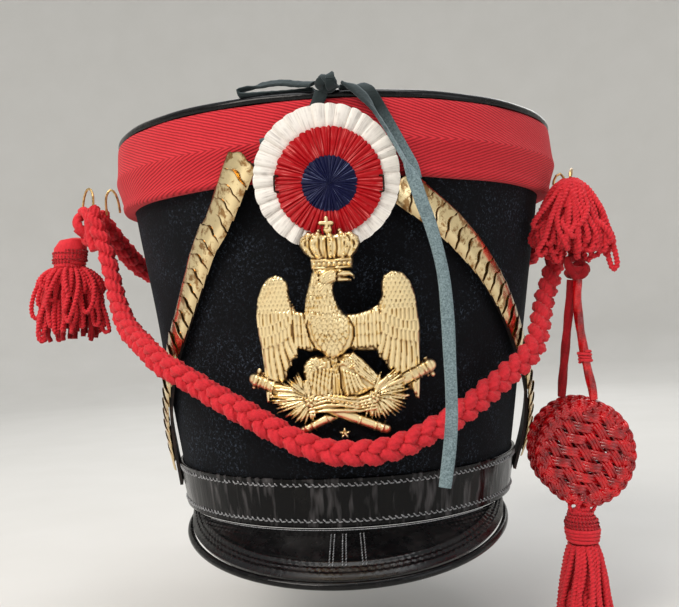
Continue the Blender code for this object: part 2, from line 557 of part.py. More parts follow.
UP = (0.0, 0.0, 1.0)
DOWN = (0.0, 0.0, -1.0)
OUT = (0.0, -1.0, 0.0)
TILT = (0.3, -0.7, 0.6)
FACING = (0.0, -0.6, 0.8)
LACE_TAIL = (((9.0, -125.4, 201.4), UP), ((13.2, -126.6, 199.2), TILT), ((17.8, -128.0, 194.4), TILT),
             ((22.2, -129.4, 187.6), OUT), ((25.8, -130.2, 181.4), OUT), ((29.9, -130.8, 173.6), OUT),
             ((34.4, -131.4, 164.6), OUT), ((38.2, -131.6, 155.4), OUT), ((40.7, -131.6, 147.0), OUT),
             ((44.8, -131.4, 134.1), OUT), ((48.6, -130.4, 116.0), OUT), ((49.8, -129.4, 98.0), OUT),
             ((50.0, -128.4, 78.0), OUT), ((49.9, -127.6, 56.0), OUT), ((48.4, -127.0, 40.0), OUT),
             ((45.5, -126.2, 22.0), OUT))
LACE_LOOP = (((-4.5, -122.4, 202.6), FACING), ((-8.6, -119.8, 203.4), FACING),
             ((-13.0, -117.8, 204.4), FACING), ((-18.0, -116.2, 205.6), FACING),
             ((-23.0, -114.6, 206.0), FACING), ((-28.6, -113.2, 205.7), FACING),
             ((-34.0, -112.4, 205.0), UP), ((-38.0, -112.6, 204.2), (-0.6, 0.0, 0.8)),
             ((-39.4, -113.0, 202.9), (-1.0, 0.0, 0.0)), ((-38.0, -113.4, 201.8), (-0.6, 0.0, -0.8)),
             ((-33.0, -114.2, 201.5), DOWN), ((-26.0, -114.6, 201.5), DOWN), ((-19.0, -114.6, 201.5), DOWN),
             ((-12.0, -115.2, 201.5), DOWN), ((-4.2, -117.0, 201.5), DOWN))
TIE_LEFT = (((-0.6, -124.7, 198.3), OUT), ((-1.8, -124.8, 195.5), OUT), ((-3.6, -124.8, 191.5), OUT),
            ((-8.0, -124.4, 185.6), OUT), ((-14.6, -123.9, 180.8), OUT), ((-21.6, -123.2, 178.2), OUT),
            ((-29.0, -122.2, 176.6), OUT))
TIE_RIGHT = (((7.2, -119.0, 201.6), UP), ((12.4, -118.4, 201.6), UP), ((17.0, -120.4, 201.5), TILT),
             ((20.6, -123.8, 197.6), OUT), ((24.6, -123.2, 191.0), OUT), ((29.6, -121.8, 181.5), OUT),
             ((34.6, -120.4, 171.5), OUT), ((38.2, -119.8, 164.0), OUT), ((39.4, -119.6, 158.4), OUT))
KNOT_CENTRE = (2.0, -124.8, 201.7)
KNOT_HALF = (5.6, 4.8, 2.7)


def build_lace(parent):
    strip("lace_tail", LACE_TAIL, LACE_WIDTH, LACE_THICK, LACE_SPACING, SUEDE, parent)
    strip("lace_loop", LACE_LOOP, LACE_WIDTH, LACE_THICK, LACE_SPACING, SUEDE, parent)
    strip("lace_tie_left", TIE_LEFT, LACE_WIDTH, TIE_THICK, TIE_SPACING, SUEDE, parent)
    strip("lace_tie_right", TIE_RIGHT, LACE_WIDTH, TIE_THICK, LACE_SPACING, SUEDE, parent)
    shape = bmesh.new()
    stretch = Matrix.Diagonal(Vector(KNOT_HALF) * MM).to_4x4()
    place = Matrix.Translation(Vector(KNOT_CENTRE) * MM)
    bmesh.ops.create_uvsphere(shape, u_segments=16, v_segments=8, radius=1.0, matrix=place @ stretch)
    mesh = bpy.data.meshes.new("lace_knot")
    shape.to_mesh(mesh)
    shape.free()
    add_object("lace_knot", mesh, SUEDE, parent)


# ---------------------------------------------------------------- build

clear_scene()
SHAKO = make_collection("shako")
FELT = make_material("felt", (0.012, 0.012, 0.014), 0.95)
PATENT = make_material("patent_leather", (0.010, 0.010, 0.011), 0.18)
LEATHER = make_material("strap_leather", (0.015, 0.013, 0.012), 0.55)
SUEDE = make_material("lace_suede", (0.11, 0.15, 0.15), 0.85)
BRASS = make_material("gilt_brass", (0.80, 0.58, 0.26), 0.25, 1.0)
RED_WOOL = make_material("red_wool", (0.55, 0.016, 0.018), 0.9)
RED_CORD = make_material("red_cord", (0.48, 0.010, 0.016), 0.5)
WHITE_SATIN = make_material("white_satin", (0.80, 0.78, 0.74), 0.4)
RED_SATIN = make_material("red_satin", (0.50, 0.008, 0.012), 0.4)
BLUE_SATIN = make_material("navy_satin", (0.006, 0.008, 0.07), 0.4)

HAT = bpy.data.objects.new("shako_origin", None)
SHAKO.objects.link(HAT)
build_body(HAT)
build_visor(HAT)
build_cockade(HAT)
build_plate(HAT)
build_strap("left", STRAP_LEFT, HAT)
build_strap("right", STRAP_RIGHT, HAT)
build_cords(HAT)
build_lace(HAT)
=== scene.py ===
"""Looks of a felt shako: its body, crown, visor, cockade, eagle plate, chin scales, laces, plaited cords,
tassels and raquettes, modelled around the CAD parts. Sizes in the code are in millimetres."""
import math
import random
from functools import partial
from math import cos, hypot, pi, radians, sin

import bmesh
import bpy
import numpy as np
from mathutils import Matrix, Vector


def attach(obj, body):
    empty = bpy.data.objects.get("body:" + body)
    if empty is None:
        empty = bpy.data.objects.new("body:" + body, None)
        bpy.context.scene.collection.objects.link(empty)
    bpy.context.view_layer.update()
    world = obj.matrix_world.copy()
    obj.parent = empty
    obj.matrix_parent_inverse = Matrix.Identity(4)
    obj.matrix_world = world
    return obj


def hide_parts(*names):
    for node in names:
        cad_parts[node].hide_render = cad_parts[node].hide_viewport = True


bl_info = {
    "name": "Shako dressing",
    "version": (1, 0, 0),
    "blender": (4, 5, 0),
    "location": "3D View > Sidebar > Shako",
    "description": "Models the looks of a felt shako around its CAD parts",
    "category": "Object",
}

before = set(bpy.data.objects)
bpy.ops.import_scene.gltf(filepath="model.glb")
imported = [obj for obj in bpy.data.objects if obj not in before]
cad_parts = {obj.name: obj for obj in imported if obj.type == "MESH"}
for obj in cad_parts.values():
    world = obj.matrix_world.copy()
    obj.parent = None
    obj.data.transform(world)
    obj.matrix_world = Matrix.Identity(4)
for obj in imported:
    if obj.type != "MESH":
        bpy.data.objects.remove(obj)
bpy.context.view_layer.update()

MM = 0.001
BODY = "root"

# The hat's body: an oval at the head that opens to a circle at the crown
BODY_HEIGHT = 196.0
BASE_HALF_WIDTH, BASE_HALF_LENGTH, CROWN_RADIUS = 90.0, 98.5, 120.0


# ---------------------------------------------------------------- user's sizes and colours

def linear(code):
    """Linear colour with alpha, from an sRGB hex code."""
    parts = [int(code[i:i + 2], 16) / 255 for i in (1, 3, 5)]
    return tuple(c / 12.92 if c <= 0.04045 else ((c + 0.055) / 1.055) ** 2.4 for c in parts) + (1.0,)


def colour(name, text, code):
    return bpy.props.FloatVectorProperty(name=name, description=text, subtype="COLOR", size=4,
                                         min=0.0, max=1.0, default=linear(code))


def length(name, text, millimetres):
    return bpy.props.FloatProperty(name=name, description=text, subtype="DISTANCE", unit="LENGTH",
                                   min=0.0001, default=millimetres * MM, precision=4)


def pleats(name, text, count):
    return bpy.props.IntProperty(name=name, description=text, min=8, default=count)


class ShakoSizes(bpy.types.PropertyGroup):
    rib_spacing: length("Rib spacing", "Height of one rib of the band's twill", 1.4)
    white_pleats: pleats("White pleats", "Pleats round the white ring", 33)
    red_pleats: pleats("Red pleats", "Pleats round the red ring", 58)
    navy_pleats: pleats("Navy pleats", "Pleats round the navy centre", 40)
    scale_pitch: length("Scale pitch", "Visible length of one chin scale", 8.0)
    stitch_pitch: length("Stitch pitch", "Length of one chain stitch on the base band", 3.1)
    plait_pitch: length("Plait pitch", "Length in which a strand crosses the plait and comes back", 25.0)
    bullion_pitch: length("Bullion pitch", "Length of one twist of the tassels' cords", 4.0)


class ShakoColours(bpy.types.PropertyGroup):
    felt: colour("Felt", "Black wool felt", "#08090C")
    fibre: colour("Felt fibres", "Lighter fibres on the felt's surface", "#4E5868")
    wool: colour("Red wool", "Band, plaits and bullion", "#DA323C")
    # painted shade: deep red for the band's grooves and the plaits' darker patches
    wool_shade: colour("Red wool in the grooves", "Deep red between ribs and strands", "#A01822")
    cord: colour("Red cord", "Glossy cord of the raquettes and of one hanging cord", "#CE0C16")
    white: colour("White ribbon", "Cockade's outer ring", "#E9E4DD")
    red_ribbon: colour("Red ribbon", "Cockade's middle ring", "#A60A14")
    navy: colour("Navy ribbon", "Cockade's centre", "#070B32")
    brass: colour("Gilt brass", "Plate and chin scales", "#FCE5B2")
    tarnish: colour("Tarnish", "Brass in its hollows", "#B58445")
    patent: colour("Patent leather", "Visor, base band and crown", "#060607")
    leather: colour("Strap leather", "Backing of the chin scales", "#1A1310")
    suede: colour("Suede lace", "Tie lace", "#8A9DA2")
    thread: colour("Thread", "Stitches", "#A9ABAF")


# ---------------------------------------------------------------- bench tools

def deselect():
    """Object mode with nothing selected."""
    if bpy.context.object and bpy.context.object.mode != "OBJECT":
        bpy.ops.object.mode_set(mode="OBJECT")
    bpy.ops.object.select_all(action="DESELECT")


def named(name):
    """The object that the last operator added, under its own name."""
    piece = bpy.context.object
    piece.name = name
    piece.data.name = name
    return piece


def pick(piece, *others):
    """Selects the pieces and makes the first one active."""
    deselect()
    for item in (piece, *others):
        item.select_set(True)
    bpy.context.view_layer.objects.active = piece
    return piece


def sculpt(piece, move):
    """Moves every vertex; `move` takes and gives arrays x, y, z."""
    places = np.empty(len(piece.data.vertices) * 3)
    piece.data.vertices.foreach_get("co", places)
    x, y, z = places.reshape(-1, 3).T
    piece.data.vertices.foreach_set("co", np.stack(move(x, y, z), 1).ravel())
    piece.data.update()
    return piece


def edit(kind, action="SELECT"):
    """Edit mode, with everything or nothing selected."""
    bpy.ops.object.mode_set(mode="EDIT")
    bpy.ops.mesh.select_mode(type=kind)
    bpy.ops.mesh.select_all(action=action)


def drawn_up(name, rings, count, start=True, end=True):
    """Shape drawn up from a circle, ring by ring: (z, half width, half depth, x, y); `start` and `end` close
    its ends."""
    deselect()
    z, a, b, x, y = rings[0]
    bpy.ops.mesh.primitive_circle_add(vertices=count, radius=1.0, fill_type="NGON" if start else "NOTHING")
    piece = named(name)
    edit("EDGE")
    bpy.ops.transform.resize(value=(a, b, 1.0))
    bpy.ops.transform.translate(value=(x, y, z))
    for (z1, a1, b1, x1, y1), (z2, a2, b2, x2, y2) in zip(rings, rings[1:]):
        bpy.ops.mesh.extrude_edges_move(TRANSFORM_OT_translate={"value": (x2 - x1, y2 - y1, z2 - z1)})
        bpy.ops.transform.resize(value=(a2 / a1, b2 / b1, 1.0))
    if end:
        bpy.ops.mesh.edge_face_add()
    bpy.ops.object.mode_set(mode="OBJECT")
    return piece


def round_rings(profile):
    """Rings of a turned form from (height, radius)."""
    return [(z, r, r, 0.0, 0.0) for z, r in profile]


def close_ring_ends(piece):
    """Joins the two open ends of a wall with faces."""
    pick(piece)
    edit("EDGE", "DESELECT")
    bpy.ops.mesh.select_non_manifold(extend=False)
    bpy.ops.mesh.bridge_edge_loops()
    bpy.ops.object.mode_set(mode="OBJECT")


def outward_faces(piece):
    """Merges doubled points and turns every face outward."""
    pick(piece)
    edit("VERT")
    bpy.ops.mesh.remove_doubles(threshold=0.0005)
    bpy.ops.mesh.normals_make_consistent(inside=False)
    bpy.ops.object.mode_set(mode="OBJECT")


def thicken(piece, wall):
    """Gives a sheet its wall, inward from its face."""
    pick(piece)
    made = piece.modifiers.new("thickness", "SOLIDIFY")
    made.thickness, made.offset = wall, -1.0
    bpy.ops.object.modifier_apply(modifier="thickness")
    return piece


def unroll(piece, reach, polar=False):
    """UV round the Z axis, in metres: u is the arc at radius `reach`, v the height, or polar the radius."""
    mesh = piece.data
    loops = np.empty(len(mesh.loops), np.int32)
    mesh.loops.foreach_get("vertex_index", loops)
    places = np.empty(len(mesh.vertices) * 3)
    mesh.vertices.foreach_get("co", places)
    x, y, z = places.reshape(-1, 3)[loops].T
    totals = np.empty(len(mesh.polygons), np.int32)
    mesh.polygons.foreach_get("loop_total", totals)
    turn = np.arctan2(x, -y)
    first = np.repeat(turn[np.concatenate(([0], np.cumsum(totals)[:-1]))], totals)
    turn = turn - 2 * pi * np.round((turn - first) / (2 * pi))
    rise = np.hypot(x, y) if polar else z
    layer = mesh.uv_layers.active or mesh.uv_layers.new(name="UVMap")
    layer.data.foreach_set("uv", np.stack((turn * reach * MM, rise * MM), 1).ravel())


def place(piece, matrix):
    """Carries the mesh itself to its place, so that the object stays at the origin."""
    piece.data.transform(matrix)
    piece.data.update()
    return piece


def wear(piece, finish, slot, *nodes, angle=60, check=True):
    """Finished piece: metres, faces outward, smooth shading, its material, its CAD nodes hidden; `slot` is
    not used.
    """
    pick(piece)
    bpy.ops.object.transform_apply(location=True, rotation=True, scale=True)
    if check:
        outward_faces(piece)
    piece.data.transform(Matrix.Scale(MM, 4))
    bpy.ops.object.shade_smooth_by_angle(angle=radians(angle))
    piece.data.materials.clear()
    piece.data.materials.append(FINISH[finish])
    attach(piece, BODY)
    if nodes:
        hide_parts(*nodes)
    return piece


def joined(name, pieces):
    """Several pieces made one."""
    pick(*pieces)
    bpy.ops.object.join()
    return named(name)


def linked(name, data):
    """A new object of the scene that shows the data."""
    made = bpy.data.objects.new(name, data)
    bpy.context.scene.collection.objects.link(made)
    return made


def copy_of(piece, matrix):
    """A copy with its own mesh, carried by the matrix."""
    twin = piece.copy()
    twin.data = piece.data.copy()
    bpy.context.scene.collection.objects.link(twin)
    twin.data.transform(matrix)
    return twin


def skinned(name, rings):
    """Closed skin over rings of equal count."""
    shape = bmesh.new()
    rows = [[shape.verts.new(point) for point in ring] for ring in rings]
    for low, high in zip(rows, rows[1:]):
        for k in range(len(low)):
            shape.faces.new((low[k - 1], low[k], high[k], high[k - 1]))
    shape.faces.new(rows[0])
    shape.faces.new(rows[-1][::-1])
    mesh = bpy.data.meshes.new(name)
    shape.to_mesh(mesh)
    shape.free()
    return linked(name, mesh)


def stand(origin, along, out):
    """Matrix that puts a form's Y along `along` and its Z towards `out`."""
    y = Vector(along).normalized()
    x = y.cross(Vector(out)).normalized()
    z = x.cross(y)
    return Matrix.Translation(origin) @ Matrix((x, y, z)).transposed().to_4x4()


# ---------------------------------------------------------------- the hat's lines

def half_width(z):
    """Half of the felt's width at a height."""
    return BASE_HALF_WIDTH + (CROWN_RADIUS - BASE_HALF_WIDTH) * z / BODY_HEIGHT


def half_length(z):
    """Half of the felt's length, front to back, at a height."""
    return BASE_HALF_LENGTH + (CROWN_RADIUS - BASE_HALF_LENGTH) * z / BODY_HEIGHT


def on_body(angle, z, out):
    """Point at an angle from the front (degrees, + to +X), `out` mm outside the felt."""
    turn = radians(angle)
    a, b = half_width(z) + out, half_length(z) + out
    reach = 1.0 / hypot(sin(turn) / a, cos(turn) / b)
    return Vector((reach * sin(turn), -reach * cos(turn), z))


def outward(point):
    """Away from the hat's axis, a little upward as the felt leans."""
    return Vector((point.x, point.y, 0.13 * hypot(point.x, point.y))).normalized()


def smooth_points(route, spacing):
    """Points about `spacing` mm apart on a smooth curve through the route's own points."""
    points = [Vector(p) for p in route]
    padded = [points[0] * 2 - points[1]] + points + [points[-1] * 2 - points[-2]]
    result = [points[0]]
    for a, b, c, d in zip(padded, padded[1:], padded[2:], padded[3:]):
        pieces = max(1, round((c - b).length / spacing))
        for k in range(1, pieces + 1):
            t = k / pieces
            result.append(0.5 * (2 * b + (c - a) * t + (2 * a - 5 * b + 4 * c - d) * t * t
                                 + (3 * b - a - 3 * c + d) * t ** 3))
    return result


def even_points(route, spacing):
    """Points exactly evenly spaced along the smooth curve."""
    fine = smooth_points(route, spacing / 4)
    steps = np.array([0.0] + [(q - p).length for p, q in zip(fine, fine[1:])]).cumsum()
    wanted = np.linspace(0, steps[-1], max(2, round(steps[-1] / spacing) + 1))
    table = np.array([tuple(p) for p in fine])
    return [Vector(row) for row in np.stack([np.interp(wanted, steps, table[:, k]) for k in range(3)], 1)]


def tangents(points):
    """The way that the route runs at each point."""
    last = len(points) - 1
    return [(points[min(i + 1, last)] - points[max(i - 1, 0)]).normalized() for i in range(last + 1)]


# ---------------------------------------------------------------- cords as curves

def section(radius, lobes, depth, count):
    """Closed section of a cord of `lobes` plies, as a flat curve to sweep."""
    line = bpy.data.curves.new("section", "CURVE")
    line.dimensions = "2D"
    spline = line.splines.new("POLY")
    spline.use_cyclic_u = True
    spline.points.add(count - 1)
    for i, point in enumerate(spline.points):
        turn = 2 * pi * i / count
        reach = radius * (1 - depth + depth * abs(cos(turn * lobes / 2)))
        point.co = (reach * cos(turn), reach * sin(turn), 0.0, 1.0)
    return linked("section", line)


def swept(name, routes, radius, lobes=2, depth=0.34, count=10, pitch=None, swell=None):
    """Twisted cords along routes of evenly spaced points, made one mesh."""
    profile = section(radius, lobes, depth, count)
    curve = bpy.data.curves.new(name, "CURVE")
    curve.dimensions = "3D"
    curve.bevel_mode = "OBJECT"
    curve.bevel_object = profile
    curve.use_fill_caps = True
    for k, points in enumerate(routes):
        spline = curve.splines.new("POLY")
        spline.points.add(len(points) - 1)
        gone = 0.0
        for i, (slot, point) in enumerate(zip(spline.points, points)):
            gone += (point - points[i - 1]).length if i else 0.0
            slot.co = (*point, 1.0)
            slot.tilt = 2 * pi * gone / pitch + k * 1.7 if pitch else 0.0
            slot.radius = swell(k, i / (len(points) - 1)) if swell else 1.0
    pick(linked(name, curve))
    bpy.ops.object.convert(target="MESH")
    piece = named(name)
    bpy.data.objects.remove(profile)
    return piece


def smooth_wire(name, routes, radius, count, swell=None):
    """Round wire or cord without plies."""
    return swept(name, routes, radius, 1, 0.0, count, swell=swell)


def bullion(name, routes, radius, twist):
    """Tassel cords of two plies with a deep groove between them."""
    return swept(name, routes, radius, depth=0.46, pitch=twist / MM)


# ---------------------------------------------------------------- materials

def feed(made, inputs):
    """Gives a node's inputs their values, or links them to another node or socket."""
    for key, value in inputs.items():
        if isinstance(value, bpy.types.Node):
            value = next(out for out in value.outputs if out.enabled)
        if isinstance(value, bpy.types.NodeSocket):
            made.id_data.links.new(value, made.inputs[key])
        else:
            made.inputs[key].default_value = value


def node(tree, kind, inputs, **settings):
    """Adds a node with its settings and its inputs."""
    made = tree.nodes.new("ShaderNode" + kind)
    for key, value in settings.items():
        setattr(made, key, value)
    feed(made, inputs)
    return made


def per(millimetres):
    """Scale of a pattern whose grain is so many millimetres."""
    return 1 / (millimetres * MM)


def surface(name, **values):
    """A new material: itself, what adds a node to it, its shader, and the socket of the object's places."""
    made = bpy.data.materials.new(name)
    made.use_nodes = True
    add = partial(node, made.node_tree)
    shader = made.node_tree.nodes["Principled BSDF"]
    feed(shader, {key.replace("_", " "): value for key, value in values.items()})
    return made, add, shader, add("TexCoord", {}).outputs["Object"]


def felt_finish(c):
    # Fulled wool felt, brushed: swallows light, with a blue-grey bloom of loose fibres in soft clouds
    made, add, shader, spot = surface("brushed_felt", Roughness=0.92, Specular_IOR_Level=0.14,
                                      Sheen_Weight=0.04, Sheen_Roughness=0.45, Sheen_Tint=linear("#8C9AB0"))
    fibres = add("TexNoise", {"Vector": spot, "Scale": per(1.3), "Detail": 3, "Roughness": 0.75,
                              "Distortion": 0.6})
    clouds = add("TexNoise", {"Vector": spot, "Scale": per(26)})
    bloom = add("MapRange", {0: fibres, 1: 0.54, 2: 0.76})
    patches = add("MapRange", {0: clouds, 1: 0.38, 2: 0.66, 3: 0.12, 4: 1})
    share = add("Math", {0: bloom, 1: patches}, operation="MULTIPLY")
    nap = add("TexNoise", {"Vector": spot, "Scale": per(0.9), "Detail": 3, "Roughness": 0.7})
    feed(shader, {
        "Base Color": add("Mix", {0: share, 6: c.felt, 7: c.fibre}, data_type="RGBA"),
        "Normal": add("Bump", {"Strength": 0.55, "Distance": 0.35 * MM, "Height": nap})})
    return made


# Height at which the band's ribs turn back, and how steeply they climb
TWILL_TURN, TWILL_SLOPE = 177.5, 0.31


def twill_finish(c, sizes):
    # Wool twill with a herringbone turn at mid height: ribs about 1.4 mm high, grooves coloured deep red as
    # painted shade, soft fuzz
    made, add, shader, spot = surface("ribbed_wool_twill", Roughness=0.82, Specular_IOR_Level=0.2,
                                      Sheen_Weight=0.22, Sheen_Roughness=0.5, Sheen_Tint=linear("#FFA6A6"))
    flat = add("SeparateXYZ", {"Vector": spot.node.outputs["UV"]})
    drift = add("TexNoise", {"Vector": spot, "Scale": per(5)})
    wander = add("Math", {0: drift, 1: 0.6 * MM}, operation="MULTIPLY")
    above = add("Math", {0: flat.outputs["Y"], 1: TWILL_TURN * MM}, operation="SUBTRACT")
    rise = add("Math", {0: above}, operation="ABSOLUTE")
    slant = add("Math", {0: flat.outputs["X"], 1: TWILL_SLOPE, 2: rise}, operation="MULTIPLY_ADD")
    phase = add("Math", {0: slant, 1: wander}, operation="ADD")
    turn = add("Math", {0: phase, 1: 2 * pi / sizes.rib_spacing}, operation="MULTIPLY")
    wave = add("Math", {0: turn}, operation="SINE")
    rib = add("MapRange", {0: wave, 1: -0.9, 2: 0.35})
    threads = add("TexNoise", {"Vector": spot, "Scale": per(0.8), "Roughness": 0.7})
    height = add("Math", {0: threads, 1: 0.5, 2: rib}, operation="MULTIPLY_ADD")
    hairs = add("TexNoise", {"Vector": spot, "Scale": per(2.2), "Detail": 3, "Roughness": 0.7})
    fleck = add("MapRange", {0: hairs, 1: 0.3, 2: 0.75, 3: 0.72, 4: 1})
    # painted shade: the grooves between the ribs take the deep red
    share = add("Math", {0: rib, 1: fleck}, operation="MULTIPLY")
    feed(shader, {
        "Base Color": add("Mix", {0: share, 6: c.wool_shade, 7: c.wool}, data_type="RGBA"),
        "Normal": add("Bump", {"Strength": 0.7, "Distance": 0.45 * MM, "Height": height})})
    return made


def wool_finish(name, main, shade):
    # Soft spun wool of the plaits and bullion: matt, hairy, with deeper red in patches of the hair noise as
    # painted shade
    made, add, shader, spot = surface(name, Roughness=0.86, Specular_IOR_Level=0.18, Sheen_Weight=0.28,
                                      Sheen_Roughness=0.45, Sheen_Tint=linear("#FFB0A8"),
                                      Subsurface_Weight=0.06, Subsurface_Scale=0.002,
                                      Subsurface_Radius=(1, 0.15, 0.12))
    hair = add("TexNoise", {"Vector": spot, "Scale": per(1.4), "Detail": 4, "Roughness": 0.75,
                            "Distortion": 0.8})
    clouds = add("TexNoise", {"Vector": spot, "Scale": per(9)})
    pale_share = add("MapRange", {0: hair, 1: 0.25, 2: 0.55, 3: 0.45, 4: 1})
    soft = add("MapRange", {0: clouds, 1: 0.3, 2: 0.6, 3: 0.75, 4: 1})
    share = add("Math", {0: pale_share, 1: soft}, operation="MULTIPLY")
    feed(shader, {
        "Base Color": add("Mix", {0: share, 6: shade, 7: main}, data_type="RGBA"),
        "Normal": add("Bump", {"Strength": 0.8, "Distance": 0.45 * MM, "Height": hair})})
    return made


def cord_finish(c):
    # Gimped cord with a hard twist: glossy thread lines over a deep red
    made, add, shader, spot = surface("gimped_cord", Specular_IOR_Level=0.62)
    threads = add("TexNoise", {"Vector": spot, "Scale": per(0.7), "Roughness": 0.6})
    clouds = add("TexNoise", {"Vector": spot, "Scale": per(6)})
    share = add("MapRange", {0: clouds, 1: 0.36, 2: 0.66})
    feed(shader, {
        "Base Color": add("Mix", {0: share, 6: linear("#80040B"), 7: c.cord}, data_type="RGBA"),
        "Roughness": add("MapRange", {0: threads, 1: 0.3, 2: 0.7, 3: 0.2, 4: 0.38}),
        "Normal": add("Bump", {"Strength": 0.4, "Distance": 0.2 * MM, "Height": threads})})
    return made


def ribbon_finish(name, main, painted_streak, low, high, rough):
    # Pleated satin ribbon: fine weft lines run outward from the centre as painted streaks: pale painted
    # highlight on red and navy,
    #     # grey painted shade on white; the streaks start at `low` of the noise and are full at `high`
    made, add, shader, spot = surface(name, Specular_IOR_Level=0.16)
    drawn = add("Mapping", {"Vector": spot.node.outputs["UV"], "Scale": (1, 0.035, 1)})
    lines = add("TexNoise", {"Vector": drawn, "Scale": per(0.62), "Roughness": 0.6})
    cloth = add("TexNoise", {"Vector": spot, "Scale": per(4), "Detail": 3})
    marks = add("MapRange", {0: lines, 1: low, 2: high})
    streak_patches = add("MapRange", {0: cloth, 1: 0.35, 2: 0.6})
    share = add("Math", {0: marks, 1: streak_patches}, operation="MULTIPLY")
    feed(shader, {
        # painted highlight streaks of reflected light on the red and navy, painted shade streaks on the white
        "Base Color": add("Mix", {0: share, 6: main, 7: linear(painted_streak)}, data_type="RGBA"),
        "Roughness": add("MapRange", {0: cloth, 1: 0.3, 2: 0.7, 3: rough, 4: rough + 0.18}),
        "Normal": add("Bump", {"Strength": 0.35, "Distance": 0.18 * MM, "Height": lines})})
    return made


def brass_finish(name, c, rough, spotted, low, high, tarnish_and_reflection_tone):
    # Stamped gilt brass: pale gold, darkened brown by a mesh attribute (lacquer and painted shade in the
    # plate's hollows, painted
    #     # shadow and dark reflections on the scales); toned patches start at `low` of the noise and are full
    #     at `high`
    made, add, shader, spot = surface(name, Metallic=1)
    painted_shade_and_lacquer = add("Attribute", {}, attribute_name="painted_shade_and_lacquer").outputs["Fac"]
    tone_patches = add("TexNoise", {"Vector": spot, "Scale": per(5), "Detail": 4, "Roughness": 0.65,
                              "Distortion": 0.4})
    grain = add("TexNoise", {"Vector": spot, "Scale": per(1.6), "Detail": 3})
    share = add("MapRange", {0: tone_patches, 1: low, 2: high, 3: 0, 4: spotted})
    patchy = add("Mix", {0: share, 6: c.brass, 7: tarnish_and_reflection_tone}, data_type="RGBA")
    feed(shader, {
        # painted shade: the attribute browns the colour in hollows, at the scales' tip edges and on their
        # flanks
        "Base Color": add("Mix", {0: painted_shade_and_lacquer, 6: patchy, 7: linear("#6A4014")}, data_type="RGBA"),
        "Roughness": add("MapRange", {0: tone_patches, 1: 0.35, 2: 0.75, 3: rough, 4: rough + 0.2}),
        "Normal": add("Bump", {"Strength": 0.10, "Distance": 0.1 * MM, "Height": grain})})
    return made


def wire_finish(name, metal, spotted, rough, strength):
    # Drawn wire, dulled by handling: brass for the hooks, blackened iron for the cockade's staples
    made, add, shader, spot = surface(name, Metallic=0.95, Roughness=rough)
    spots = add("TexNoise", {"Vector": spot, "Scale": per(1.4), "Detail": 3})
    share = add("MapRange", {0: spots, 1: 0.48, 2: 0.72})
    feed(shader, {
        "Base Color": add("Mix", {0: share, 6: linear(metal), 7: linear(spotted)}, data_type="RGBA"),
        "Normal": add("Bump", {"Strength": strength, "Distance": 0.1 * MM, "Height": spots})})
    return made


def patent_finish(name, c, rough, wrinkle, shine, stretch, pale_share):
    # Lacquered leather: black mirror with a soft orange peel, fine pores and dull rubbed patches; its crests
    # carry
    #     # painted highlight streaks, pale as the last number says; the peel is drawn out along the height by
    #     `stretch`
    made, add, shader, spot = surface(name, Specular_IOR_Level=shine, Coat_Weight=0.05, Coat_Roughness=0.06)
    drawn = add("Mapping", {"Vector": spot, "Scale": (1, 1, stretch)})
    peel = add("TexNoise", {"Vector": drawn, "Scale": per(3.6)})
    pores = add("TexNoise", {"Vector": spot, "Scale": per(0.9), "Roughness": 0.6})
    dust = add("TexNoise", {"Vector": spot, "Scale": per(12), "Detail": 5, "Roughness": 0.7})
    share = add("MapRange", {0: dust, 1: 0.5, 2: 0.8, 3: 0, 4: 0.16})
    waves = add("Bump", {"Strength": wrinkle, "Distance": 0.5 * MM, "Height": peel})
    dull = add("Mix", {0: share, 6: c.patent, 7: linear("#2A2724")}, data_type="RGBA")
    # painted highlight: pale streaks of painted reflection on the crests of the stretched peel
    stretched_pattern = add("MapRange", {0: peel, 1: 0.52, 2: 0.80, 3: 0, 4: pale_share})
    feed(shader, {
        "Base Color": add("Mix", {0: stretched_pattern, 6: dull, 7: linear("#8E8A8C")}, data_type="RGBA"),
        "Roughness": add("MapRange", {0: dust, 1: 0.4, 2: 0.75, 3: rough, 4: rough + 0.22}),
        "Normal": add("Bump", {"Strength": 0.12, "Distance": 0.12 * MM, "Height": pores, "Normal": waves})})
    return made


def leather_finish(c):
    # Waxed strap leather: brown-black, close pores, worn paler in patches
    made, add, shader, spot = surface("waxed_strap_leather", Roughness=0.5, Specular_IOR_Level=0.4)
    pores = add("TexVoronoi", {"Vector": spot, "Scale": per(1.1)})
    patchy = add("TexNoise", {"Vector": spot, "Scale": per(7), "Detail": 4, "Roughness": 0.7})
    share = add("MapRange", {0: patchy, 1: 0.48, 2: 0.72})
    feed(shader, {
        "Base Color": add("Mix", {0: share, 6: c.leather, 7: linear("#4B2F20")}, data_type="RGBA"),
        "Normal": add("Bump", {"Strength": 0.35, "Distance": 0.2 * MM, "Height": pores})})
    return made


